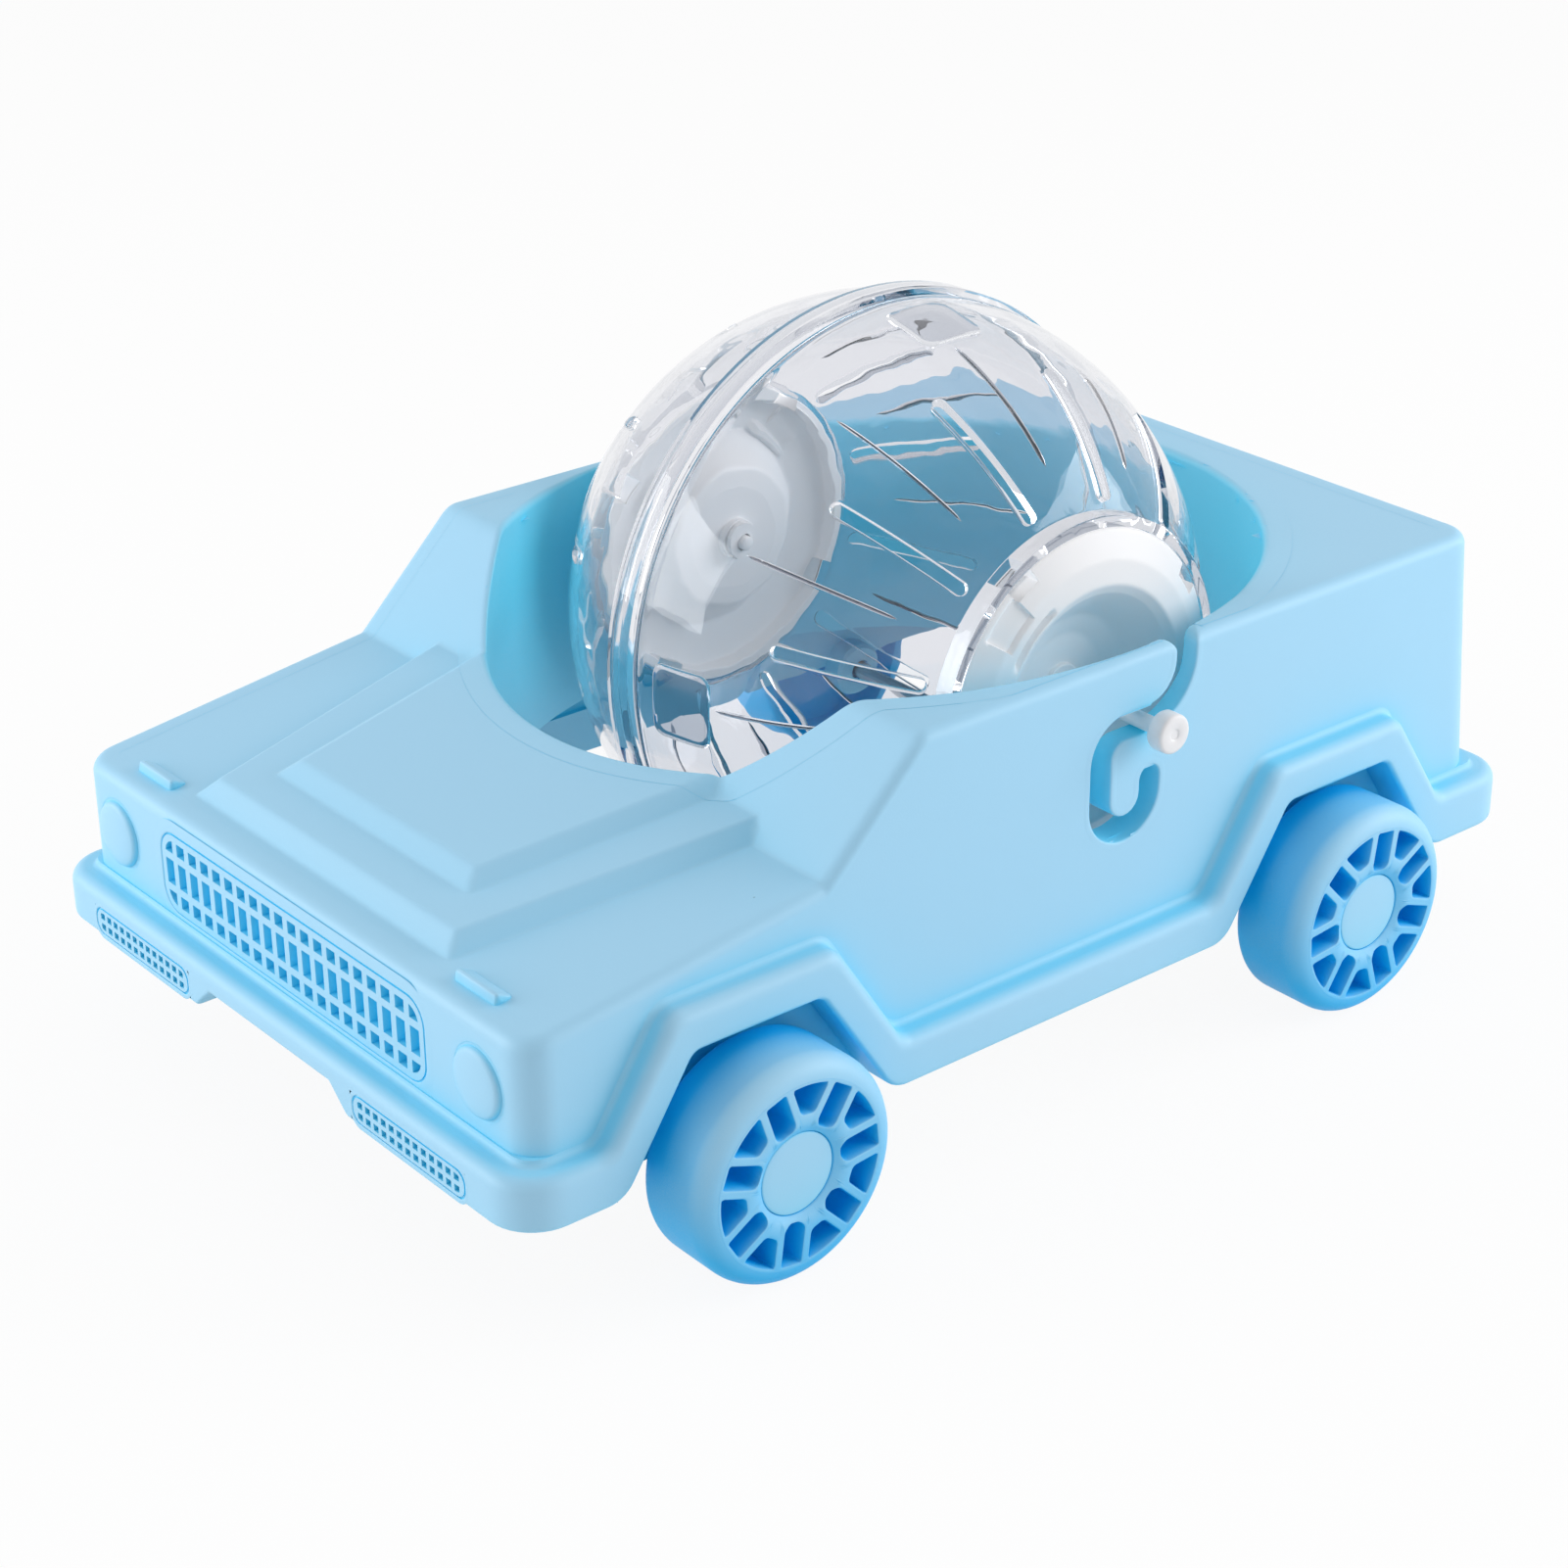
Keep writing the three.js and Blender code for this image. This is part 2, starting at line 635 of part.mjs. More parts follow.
function fogGrille(side) {
  const middle = side * fogOffset;
  const half = fogWidth / 2 - 2 * fogBorder;
  const low = fogHeight - fogTall / 2 + fogBorder;
  const high = fogHeight + fogTall / 2 - fogBorder;
  const rows = [
    [low, fogHeight - fogBar / 2],
    [fogHeight + fogBar / 2, high],
  ];
  const front = carLength / 2;
  const plate = prism(fogHole(side), 'x', front - skirtWall, front);
  const squares = openings(fogColumns, middle - half, middle + half, fogBar, rows);
  const holes = prism(squares, 'x', front - 2 * skirtWall, front + skirtWall);
  return cut(plate, shared(holes, prism(fogHole(side, -fogBorder), 'x', 0, far)));
}

// A wheel about the Y axis, its outer face at Y = 0 and the car on the side of negative Y.
// The first straight window is at the given angle.
function wheel(firstAngle) {
  const hubEnd = -(wheelFaceY - bearingFaceY - runningGap);
  const bore = axleRadius + seatGap;
  const pocket = hubCapRadius + seatGap;
  const pocketFloor = -hubRecessDepth - hubCapThickness - seatGap;
  const rim = wheelRadius - wheelRimWall;
  const outerBend = arc(wheelRadius - wheelShoulder, -wheelShoulder, wheelShoulder, 90, 0, 3);
  const innerEnd = -wheelWidth + wheelInnerShoulder;
  const innerBend = arc(wheelRadius - wheelInnerShoulder, innerEnd, wheelInnerShoulder, 0, -90, 2);
  const made = turned([
    [hubRecessRadius, 0],
    ...outerBend,
    ...innerBend,
    [rim, -wheelWidth],
    [rim, -wheelFaceThickness],
    [hubBossRadius, -wheelFaceThickness],
    [hubBossRadius, hubEnd],
    [bore, hubEnd],
    [bore, pocketFloor],
    [pocket, pocketFloor],
    [pocket, -hubRecessDepth],
  ], 24);
  const depth = [-windowDepth, 1];
  const straight = outline([
    [windowInnerRadius, -windowWidth / 2, 1.6],
    [windowOuterRadius, -windowWidth / 2],
    [windowOuterRadius, windowWidth / 2],
    [windowInnerRadius, windowWidth / 2, 1.6],
  ]);
  const step = 360 / windowCount;
  const lean = (step / 2) * degree;
  const clear = windowWidth / 2 + spokeWidth;
  const halfAt = (radius) => (radius * Math.sin(lean) - clear) / Math.cos(lean);
  const apex = wedgeInnerRadius;
  const outer = halfAt(windowOuterRadius);
  const wedge = outline([
    [apex, -halfAt(apex), 1.2],
    [windowOuterRadius - 0.4, -outer],
    [windowOuterRadius + 0.2, 0],
    [windowOuterRadius - 0.4, outer],
    [apex, halfAt(apex), 1.2],
  ]);
  const windows = Array.from({ length: windowCount }, (_, n) => [
    spunAboutY(prism(straight, 'y', ...depth, { arcSteps: 1 }), firstAngle + n * step),
    spunAboutY(prism(wedge, 'y', ...depth, { arcSteps: 1 }), firstAngle + (n + 0.5) * step),
  ]);
  return cut(made, ...windows.flat());
}

function hubCap() {
  const face = -hubRecessDepth;
  const back = face - hubCapThickness;
  return turned([[0, back], [hubCapRadius, back], [hubCapRadius, face], [0, face]], 24);
}

function axle() {
  const half = wheelFaceY - hubRecessDepth - hubCapThickness - seatGap - axleEndCover;
  const chamfer = axleRadius / 4;
  return turned([
    [0, -half],
    [axleRadius - chamfer, -half],
    [axleRadius, -half + chamfer],
    [axleRadius, half - chamfer],
    [axleRadius - chamfer, half],
    [0, half],
  ], 14);
}

// The left half of the ball about the Y axis, or the right half mirrored to the same side.
function ballHalf(isRight) {
  const inside = ballRadius - ballWall;
  const holeRadius = capRadius + seatGap;
  const collarOuter = holeRadius + collarWall;
  const seam = seatGap / 2;
  const poleAngle = (radius, sphere) => Math.acos(radius / sphere) / degree;
  const seamAngle = Math.asin(seam / ballRadius) / degree;
  const bandEnd = seamBandWidth + seam;
  const bandAngle = Math.asin(bandEnd / ballRadius) / degree;
  const band = ballRadius + seamBandProud;
  const outerStart = isRight ? [[band, seam], [band, bandEnd]] : [];
  const outer = arc(0, 0, ballRadius, isRight ? bandAngle : seamAngle, poleAngle(collarOuter, ballRadius), 5);
  const collarTop = outer.at(-1)[1] + collarRise;
  const inner = arc(0, 0, inside, poleAngle(holeRadius, inside), Math.asin(seam / inside) / degree, 5);
  const collarEnd = [[collarOuter, collarTop], [holeRadius, collarTop]];
  const shell = turned([...outerStart, ...outer, ...collarEnd, ...inner], 32);
  const middle = (ballSlotStart + ballSlotEnd) / 2;
  const length = 2 * ballRadius * Math.sin(((ballSlotEnd - ballSlotStart) / 2) * degree);
  const half = ballSlotWidth / 2;
  const slotShape = roundedRectangle(-length / 2, length / 2, -half, half, half * 0.9);
  const lengthwise = prism(slotShape, 'z', inside - 4 * ballWall, ballRadius + ballWall, { arcSteps: 1 });
  const tilted = lengthwise.rotate([-90, 0, 0]).rotate([0, 0, -middle]);
  const slots = Array.from({ length: ballSlotCount }, (_, n) =>
    spunAboutY(tilted, ballSlotOffset + (n * 360) / ballSlotCount));
  return cut(shell, ...slots);
}

// Places along the pole axis, from the ball's centre.
const collarOuterRadius = capRadius + seatGap + collarWall;
const capEdgeY = Math.sqrt(ballRadius ** 2 - collarOuterRadius ** 2) + collarRise;
const dishFloorY = capEdgeY + capRise - dishDepth;
const capHubInnerY = dishFloorY - capHubLength + capWall;

function endCap() {
  const bore = pinRadius + runningGap;
  const under = capWall;
  const profile = [
    [capRadius, capEdgeY - capRimHeight],
    [capRadius, capEdgeY - 0.8],
    [capRadius - 0.8, capEdgeY],
    [(capRadius + dishRadius) / 2, capEdgeY + capRise * 0.72],
    [dishRadius + 0.8, capEdgeY + capRise],
    [dishRadius - 0.8, capEdgeY + capRise - 0.5],
    [dishFloorRadius + 3, dishFloorY + 1.2],
    [dishFloorRadius, dishFloorY],
    [capHubRadius, dishFloorY],
    [capHubRadius, dishFloorY + 1],
    [bore, dishFloorY + 1],
    [bore, capHubInnerY],
    [capHubRadius, capHubInnerY],
    [capHubRadius, dishFloorY - under],
    [dishFloorRadius + 0.7, dishFloorY - under],
    [dishFloorRadius + 4.5, dishFloorY + 0.6 - under],
    [dishRadius + 0.4, capEdgeY + capRise - 0.5 - under],
    [capRadius - under, capEdgeY - under],
    [capRadius - under, capEdgeY - capRimHeight],
  ];
  const made = turned(profile, 28);
  const notch = block(capRadius - capNotchDepth, far, -far, far, -capNotchWidth / 2, capNotchWidth / 2);
  const notches = Array.from({ length: capNotchCount }, (_, n) =>
    spunAboutY(notch, capNotchOffset + (n * 360) / capNotchCount));
  const slitX = (dishRadius + dishFloorRadius) / 2 + 2;
  const half = capSlitWidth / 2;
  const slit = block(slitX - half, slitX + half, 0, far, -capSlitLength / 2, capSlitLength / 2);
  return cut(made, ...notches, spunAboutY(slit, capSlitAngle));
}

const retainerY = capHubInnerY - seatGap - retainerThickness;

function axlePin() {
  const knobInner = bodySide + knobStandOff;
  const knobOuter = knobInner + knobThickness;
  const round = 0.6;
  return turned([
    [0, retainerY - pinTail],
    [pinRadius, retainerY - pinTail],
    [pinRadius, knobInner],
    [knobRadius - round, knobInner],
    [knobRadius, knobInner + round],
    [knobRadius, knobOuter - round],
    [knobRadius - round, knobOuter],
    [0, knobOuter],
  ], 18);
}

function pinRetainer() {
  const bore = pinRadius + seatGap;
  return turned([
    [bore, retainerY],
    [retainerRadius, retainerY],
    [retainerRadius, retainerY + retainerThickness],
    [bore, retainerY + retainerThickness],
  ], 16);
}

// Finishes
const lightBlue = { color: 0xa6d9f2, roughness: 0.5, metalness: 0 };
const clearPlastic = { color: 0xe4eef5, roughness: 0.06, metalness: 0, transparent: true, opacity: 0.35 };
const whitePlastic = { color: 0xf3f3f6, roughness: 0.4, metalness: 0 };
const brightSteel = { color: 0xb9bdc2, roughness: 0.3, metalness: 1 };

function piece(name, geometry, finish) {
  const mesh = new THREE.Mesh(geometry, new THREE.MeshStandardMaterial(finish));
  mesh.name = name;
  return mesh;
}

const toyCar = new THREE.Group();

toyCar.add(piece('car_body', geometryOf(carBody()), lightBlue));
toyCar.add(piece('front_grille', geometryOf(frontGrille()), lightBlue));
toyCar.add(piece('fog_grille_left', geometryOf(fogGrille(1)), lightBlue));
toyCar.add(piece('fog_grille_right', geometryOf(fogGrille(-1)), lightBlue));

const hubCapGeometry = geometryOf(hubCap());
const axleGeometry = geometryOf(axle());
const axleEnds = [['front', frontAxleX, frontWindowAngle], ['rear', rearAxleX, rearWindowAngle]];
for (const [end, axleX, angle] of axleEnds) {
  const wheelGeometry = geometryOf(wheel(angle));
  const axleSet = new THREE.Group();
  axleSet.position.set(axleX, 0, wheelRadius);
  axleSet.add(piece(`${end}_axle`, axleGeometry, brightSteel));
  for (const [hand, turn] of [['left', 0], ['right', Math.PI]]) {
    const corner = new THREE.Group();
    corner.rotation.z = turn;
    const wheelPiece = piece(`wheel_${end}_${hand}`, wheelGeometry, lightBlue);
    const capPiece = piece(`hub_cap_${end}_${hand}`, hubCapGeometry, lightBlue);
    for (const part of [wheelPiece, capPiece]) {
      part.position.y = wheelFaceY;
      corner.add(part);
    }
    axleSet.add(corner);
  }
  toyCar.add(axleSet);
}

const ballGeometry = { left: geometryOf(ballHalf(false)), right: geometryOf(ballHalf(true)) };
const endCapGeometry = geometryOf(endCap());
const pinGeometry = geometryOf(axlePin());
const retainerGeometry = geometryOf(pinRetainer());
for (const [hand, turn] of [['left', 0], ['right', Math.PI]]) {
  const side = new THREE.Group();
  side.position.set(ballX, 0, pinHeight);
  side.rotation.z = turn;
  side.add(piece(`ball_half_${hand}`, ballGeometry[hand], clearPlastic));
  side.add(piece(`end_cap_${hand}`, endCapGeometry, whitePlastic));
  side.add(piece(`axle_pin_${hand}`, pinGeometry, whitePlastic));
  side.add(piece(`pin_retainer_${hand}`, retainerGeometry, whitePlastic));
  toyCar.add(side);
}

export default toyCar;
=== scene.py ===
import json
import math

import bmesh
import bpy
import numpy as np
from mathutils import Euler, Matrix, Quaternion, Vector


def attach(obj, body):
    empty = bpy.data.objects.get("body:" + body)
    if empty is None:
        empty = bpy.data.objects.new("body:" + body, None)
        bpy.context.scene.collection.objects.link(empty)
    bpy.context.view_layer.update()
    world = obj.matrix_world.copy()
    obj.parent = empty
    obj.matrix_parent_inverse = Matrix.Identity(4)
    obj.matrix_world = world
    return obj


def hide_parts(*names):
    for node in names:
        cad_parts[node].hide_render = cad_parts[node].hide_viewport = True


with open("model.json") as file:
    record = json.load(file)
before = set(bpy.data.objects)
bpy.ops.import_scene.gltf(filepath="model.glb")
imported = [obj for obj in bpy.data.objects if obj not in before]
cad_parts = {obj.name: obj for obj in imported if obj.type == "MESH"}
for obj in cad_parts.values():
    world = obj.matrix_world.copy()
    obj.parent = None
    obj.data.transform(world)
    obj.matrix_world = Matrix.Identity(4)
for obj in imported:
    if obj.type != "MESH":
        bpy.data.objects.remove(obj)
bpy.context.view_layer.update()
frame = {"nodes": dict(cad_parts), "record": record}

# Sizes in millimetres, as in the part
MM = 0.001
BODY_SIDE = 70.0
NOSE_X = 114.2
TAIL_X = -114.0
TAIL_LEAN = 5.8
BODY_FOOT = 24.0
LEAN_FOOT = 20.8
BONNET_FRONT = 53.7
BONNET_REAR = 61.8
CAB_TOP = 82.8
SCREEN_FOOT_X = 52.9
SCREEN_TOP_X = 31.6
BODY_CORNER = 6.0
EDGE_ROUND = 2.4
WALL = 2.2
WELL_X = -18.7
WELL_LONG = 76.8
WELL_WIDE = 67.6
WELL_FOOT = 34.5
PAD_SLOPE = 0.13
PAD_X = (-36.9, -5.05)
PAD_FOOT = 45.25
RIM_ROUND = 1.4
CAR_END = 119.5
SKIRT_OUT = 5.0
SKIRT_CORNER = 9.0
SKIRT_ROUND = 2.6
BUMPER_WALL = 2.4
FRONT_FOOT = 22.6
REAR_FOOT = 21.4
BUMPER_TOP = 32.0
SILL_FOOT = 20.8
SILL_TOP = 29.7
ARCH_TOP = 44.6
ARCH_HALF = 13.4
ARCH_FLARE = 0.655
BAND_TOP = 52.3
BAND_HALF = 17.1
FRONT_AXLE_X = 71.2
REAR_AXLE_X = -67.7
WHEEL_R = 20.8
WHEEL_FACE_Y = 85.1
WHEEL_WIDE = 15.8
BEARING_Y = 66.3
BALL_X = -20.5
BALL_R = 60.0
BALL_WALL = 2.0
PIN_Z = 69.2
SEAM_GAP = 0.15
COLLAR_R = 33.0
COLLAR_TOP = 54.01
CAP_R = 30.9
STEPS = (
    {"front": 54.5, "front_wide": 80.0, "rear_wide": 103.0, "base": 0.0, "height": 2.9},
    {"front": 43.5, "front_wide": 60.0, "rear_wide": 76.0, "base": 2.9, "height": 2.4},
)
STEP_RUN = 3.6
GRILLE = {"wide": 83.4, "tall": 15.6, "z": 41.9, "corner": 4.4}
FOG = {"wide": 32.4, "tall": 4.9, "z": 26.0, "middle": 43.2, "corner": 2.2}
PANEL_GAP = 0.3
LAMP = {"y": 57.2, "z": 42.5}
BAR = {"y": 50.6, "behind_nose": 6.0}

# Sizes of details, in millimetres
LEAN_START = -95.0
LEAN_RUN = 13.0
STEP_CORNER_SOFT = 1.0
STEP_TOP_SOFT = 0.4
STEP_FOOT_SOFT = 0.25
SCREEN_FOOT_SOFT = 0.5
SCREEN_TOP_SOFT = 1.6
SLOT_TRIM = 0.8
ABOVE_DECK = 95.0
SLOT_SIDE_Y = 54.0
ARCH_SIDE_Y = 60.0
DISH_R = 9.3
DISH_RUN = 1.7
WINDOW_DEPTH = 7.0

# Sizes in metres for cleaning a mesh
MERGE_REACH = 4e-6
TINY_EDGE = 1e-6

# Takes a place to the other side of the car
MIRROR_Y = np.array([1, -1, 1])


# Mesh helpers
def sheet(points, wrap_rows=False, wrap_columns=False, flip=False):
    """A (rows, columns, 3) array of places as one list, with the four corners of each face of its grid."""
    rows, columns = points.shape[:2]
    r = np.arange(rows if wrap_rows else rows - 1)
    c = np.arange(columns if wrap_columns else columns - 1)
    r, c = np.meshgrid(r, c, indexing="ij")
    r2 = (r + 1) % rows
    c2 = (c + 1) % columns
    corners = [r * columns + c, r * columns + c2, r2 * columns + c2, r2 * columns + c]
    faces = np.stack(corners, -1).reshape(-1, 4)
    return points.reshape(-1, 3), faces[:, ::-1] if flip else faces


def tube(points, flip=False):
    """A sheet closed round its columns."""
    return sheet(points, wrap_columns=True, flip=flip)


def keep_faces(made, keep):
    """The same sheet with only the faces whose middle answers true."""
    points, faces = made
    return points, faces[keep(points[faces].mean(1))]


def mirrored(made):
    """The same sheet on the other side of the car, with its faces turned back outwards."""
    points, faces = made
    return points * MIRROR_Y, faces[:, ::-1]


def clean_mesh(name, points, faces):
    """A mesh with meeting points merged, and without empty faces and loose points."""
    mesh = bpy.data.meshes.new(name)
    mesh.from_pydata(points.tolist(), [], faces.tolist())
    made = bmesh.new()
    made.from_mesh(mesh)
    bmesh.ops.remove_doubles(made, verts=made.verts, dist=MERGE_REACH)
    bmesh.ops.dissolve_degenerate(made, edges=made.edges, dist=TINY_EDGE)
    bmesh.ops.delete(made, geom=[v for v in made.verts if not v.link_faces], context="VERTS")
    made.to_mesh(mesh)
    made.free()
    return mesh


def with_settings(thing, **settings):
    """The same Blender data with its settings filled in."""
    for label, value in settings.items():
        setattr(thing, label, value)
    return thing


def add_object(name, data):
    """A new object in the scene."""
    thing = bpy.data.objects.new(name, data)
    bpy.context.scene.collection.objects.link(thing)
    return thing


def thicken(piece, wall, bevel):
    """Give a shell its wall and small edge rounds, and keep the result as its mesh."""
    with_settings(piece.modifiers.new("wall", "SOLIDIFY"), thickness=wall * MM, offset=-1,
                  use_even_offset=True, use_quality_normals=True)
    with_settings(piece.modifiers.new("edge round", "BEVEL"), width=bevel * MM, segments=2,
                  limit_method="ANGLE", angle_limit=math.radians(50))
    graph = bpy.context.evaluated_depsgraph_get()
    finished = bpy.data.meshes.new_from_object(piece.evaluated_get(graph))
    shell = piece.data
    piece.modifiers.clear()
    piece.data = finished
    bpy.data.meshes.remove(shell)
    finished.name = piece.name


def make_piece(name, sheets, slot, body, replaced=(), sharp=36, finish=None, wall=0.0, bevel=0.0):
    """One object from sheets in millimetres, in its slot's finish unless another is given, smooth shaded
    with the edges over the sharp angle kept."""
    starts = np.cumsum([0] + [len(points) for points, _ in sheets[:-1]])
    points = np.concatenate([part[0] for part in sheets]) * MM
    faces = np.concatenate([part[1] + start for part, start in zip(sheets, starts)])
    piece = add_object(name, clean_mesh(name, points, faces))
    if wall:
        thicken(piece, wall, bevel)
    piece.data.shade_smooth()
    piece.data.set_sharp_from_angle(angle=math.radians(sharp))
    piece.data.materials.append(finish or finishes[slot])
    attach(piece, body)
    for node in replaced:
        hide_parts(node)


# Outline helpers
def unit(vectors):
    """Vectors with their length made 1."""
    return vectors / np.linalg.norm(vectors, axis=-1, keepdims=True)


def xyz(x, y, z):
    """Places from three coordinates of shapes that fit together."""
    return np.stack(np.broadcast_arrays(x, y, z), -1)


def arc(u, v, radius, start, end, steps):
    """Points on a circle round (u, v), between two angles in degrees."""
    angle = np.radians(np.linspace(start, end, steps))
    return np.stack([u + radius * np.cos(angle), v + radius * np.sin(angle)], 1)


def filleted(corners, radii, arc_steps, side_steps, closed=True):
    """A polyline with each corner replaced by an arc of its radius and each side cut in equal steps."""
    corners = np.asarray(corners, float)
    before = unit(np.roll(corners, 1, 0) - corners)
    after = unit(np.roll(corners, -1, 0) - corners)
    half = np.arccos(np.clip((before * after).sum(1), -1, 1)) / 2
    radii = np.maximum(np.broadcast_to(np.asarray(radii, float), len(corners)), 1e-3)
    reach = radii / np.tan(half)
    centre = corners + unit(before + after) * (radii / np.sin(half))[:, None]
    start = corners + before * reach[:, None]
    end = corners + after * reach[:, None]
    if not closed:
        start[[0, -1]] = corners[[0, -1]]
        end[[0, -1]] = corners[[0, -1]]
    share = np.linspace(0, 1, arc_steps + 1)[None, :, None]
    chord = start[:, None] * (1 - share) + end[:, None] * share
    arcs = centre[:, None] + unit(chord - centre[:, None]) * radii[:, None, None]
    if not closed:
        arcs[0] = corners[0]
        arcs[-1] = corners[-1]
    share = np.linspace(0, 1, side_steps + 1)[1:-1][None, :, None]
    sides = end[:, None] * (1 - share) + np.roll(start, -1, 0)[:, None] * share
    line = np.concatenate([arcs, sides], 1).reshape(-1, 2)
    return line if closed else line[:1 - side_steps]


def outward_normals(path):
    """Unit normals to the right of a closed path, from the chord between each point's neighbours."""
    along = unit(np.roll(path, -1, 0) - np.roll(path, 1, 0))
    return np.stack([along[:, 1], -along[:, 0]], 1)


def lines_by_density(start, end, base, features, fine, reach):
    """Grid lines from start to end, base apart, closing up to fine within reach of each feature."""
    place = np.linspace(start, end, 4000)
    density = np.full(place.shape, 1 / base)
    for feature in features:
        density = np.maximum(density, np.exp(-((place - feature) / reach) ** 2) / fine)
    total = np.concatenate([[0], np.cumsum((density[1:] + density[:-1]) / 2 * np.diff(place))])
    return np.interp(np.linspace(0, total[-1], int(total[-1]) + 2), total, place)


def soft_min(a, b, reach):
    """The lower of two heights, blended where they differ by less than reach."""
    near = np.maximum(reach - np.abs(a - b), 0)
    return np.minimum(a, b) - near**2 / (4 * reach)


def soft_max(a, b, reach):
    """The higher of two heights, blended in the same way."""
    return -soft_min(-a, -b, reach)


def turned(profile, columns):
    """A profile of (radius, place along) turned about an axis: x = r cos a, y = along, z = r sin a."""
    angle = np.linspace(0, 2 * np.pi, columns, endpoint=False)
    radius, along = np.asarray(profile, float).T[..., None]
    return tube(xyz(radius * np.cos(angle), along, radius * np.sin(angle)))


def rectangle(middle_u, middle_v, wide, tall, corner, arc_steps=7, side_steps=6):
    """A rectangle with rounded corners, anticlockwise from its lower left corner."""
    u0, u1 = middle_u - wide / 2, middle_u + wide / 2
    v0, v1 = middle_v - tall / 2, middle_v + tall / 2
    return filleted([(u0, v0), (u1, v0), (u1, v1), (u0, v1)], corner, arc_steps, side_steps)


def inside_outline(outline, u, v):
    """True where a place is inside a closed outline: it counts the sides that a ray towards +u crosses."""
    u, v = u[:, None], v[:, None]
    u0, v0 = outline.T
    u1, v1 = np.roll(outline, -1, 0).T
    rise = np.where(v1 == v0, 1e-9, v1 - v0)
    crosses = (v0 > v) != (v1 > v)
    return (crosses & (u < u0 + (v - v0) * (u1 - u0) / rise)).sum(1) % 2 == 1


# Body: its top is one height above the plan, the lower of the deck and the higher of bonnet and windscreen
def step_half_width(step, x):
    """Half the width of a bonnet step at x, straight from its front edge to its rear edge."""
    rear = -step["height"] - step["base"] - 1
    share = np.clip((step["front"] - (x - SCREEN_FOOT_X)) / (step["front"] - rear), 0, 1)
    return (step["front_wide"] + (step["rear_wide"] - step["front_wide"]) * share) / 2


def step_lift(step, x, y):
    """A step's height: a ramp from its edge inwards, blended into the bonnet below and its flat top above."""
    behind_front = step["front"] - (x - SCREEN_FOOT_X)
    inside = soft_min(behind_front, step_half_width(step, x) - np.abs(y), STEP_CORNER_SOFT)
    ramp = step["height"] * inside / STEP_RUN
    return soft_max(soft_min(ramp, step["height"], STEP_TOP_SOFT), 0 * ramp, STEP_FOOT_SOFT)


def body_height(x, y):
    """Height of the body's top at a place on the plan."""
    slope = (BONNET_REAR - BONNET_FRONT) / (NOSE_X - SCREEN_FOOT_X)
    bonnet = BONNET_REAR - slope * (x - SCREEN_FOOT_X)
    lifted = bonnet + step_lift(STEPS[0], x, y) + step_lift(STEPS[1], x, y)
    screen = CAB_TOP - (CAB_TOP - BONNET_REAR) * (x - SCREEN_TOP_X) / (SCREEN_FOOT_X - SCREEN_TOP_X)
    return soft_min(soft_max(lifted, screen, SCREEN_FOOT_SOFT), CAB_TOP + 0 * x, SCREEN_TOP_SOFT)


def well_distance(x, y):
    """About how far a place on the plan is outside the well's edge."""
    u = (x - WELL_X) / WELL_LONG
    v = y / WELL_WIDE
    size = np.sqrt(u**2 + v**2)
    slope = np.sqrt((u / WELL_LONG) ** 2 + (v / WELL_WIDE) ** 2) / np.maximum(size, 1e-6)
    return (size - 1) / np.maximum(slope, 1e-6)


def well_half_width(x):
    """Half the well's width at x, on its ellipse, and nothing past its ends."""
    return WELL_WIDE * np.sqrt(np.clip(1 - ((x - WELL_X) / WELL_LONG) ** 2, 0, 1))


def tail_shift(x, z):
    """How far the leaning rear wall pulls a point of the outline forwards at a height."""
    share = np.clip((LEAN_START - x) / LEAN_RUN, 0, 1)
    return TAIL_LEAN * share * (z - LEAN_FOOT) / (CAB_TOP - LEAN_FOOT)


def edge_distance(x, y):
    """How far a place on the plan is inside the body's outline at the top."""
    rear = TAIL_X + TAIL_LEAN
    middle = (NOSE_X + rear) / 2
    px = np.abs(x - middle) - (NOSE_X - rear) / 2 + BODY_CORNER
    py = np.abs(y) - BODY_SIDE + BODY_CORNER
    outside = np.hypot(np.maximum(px, 0), np.maximum(py, 0))
    return BODY_CORNER - outside - np.minimum(np.maximum(px, py), 0)


def slot_outline(grow=0.0, run=0.0):
    """The J slot seen from the side, as (x, z), from the mouth's rear corner round to its front one, with a
    straight run along the deck before and after it."""
    entry, wide, reach, bend, loop = 12.0, 4.9, 13.25, 8.4, 8.55
    pivot, drop, dead_end, mouth = 10.2, 13.2, 11.15, 2.2
    inner = entry - wide
    top = CAB_TOP - PIN_Z
    bend_x = reach - bend
    bend_z = pivot - inner - bend
    loop_x = reach - loop
    loop_inner = loop - wide
    parts = [
        arc(-entry - mouth - grow, top - mouth - grow, mouth, 90, 0, 7),
        arc(0, pivot, entry + grow, 180, 270, 22),
        arc(bend_x, bend_z, bend - wide - grow, 90, 0, 9),
        arc(loop_x, -drop, loop_inner - grow, 0, -180, 11),
        arc(loop_x - loop_inner - wide / 2, -dead_end, wide / 2 + grow, 0, 180, 11),
        arc(loop_x, -drop, loop + grow, 180, 360, 22),
        arc(bend_x, bend_z, bend + grow, 0, 90, 12),
        arc(0, pivot, inner - grow, 270, 180, 15),
        arc(-inner + mouth + grow, top - mouth - grow, mouth, 180, 90, 7),
    ]
    if run:
        ahead = np.linspace(0, run, 4)[1:, None] * np.array([1, 0])
        parts = [parts[0][0] - ahead[::-1], *parts, parts[-1][-1] + ahead]
    return np.concatenate(parts) + np.array([BALL_X, PIN_Z])


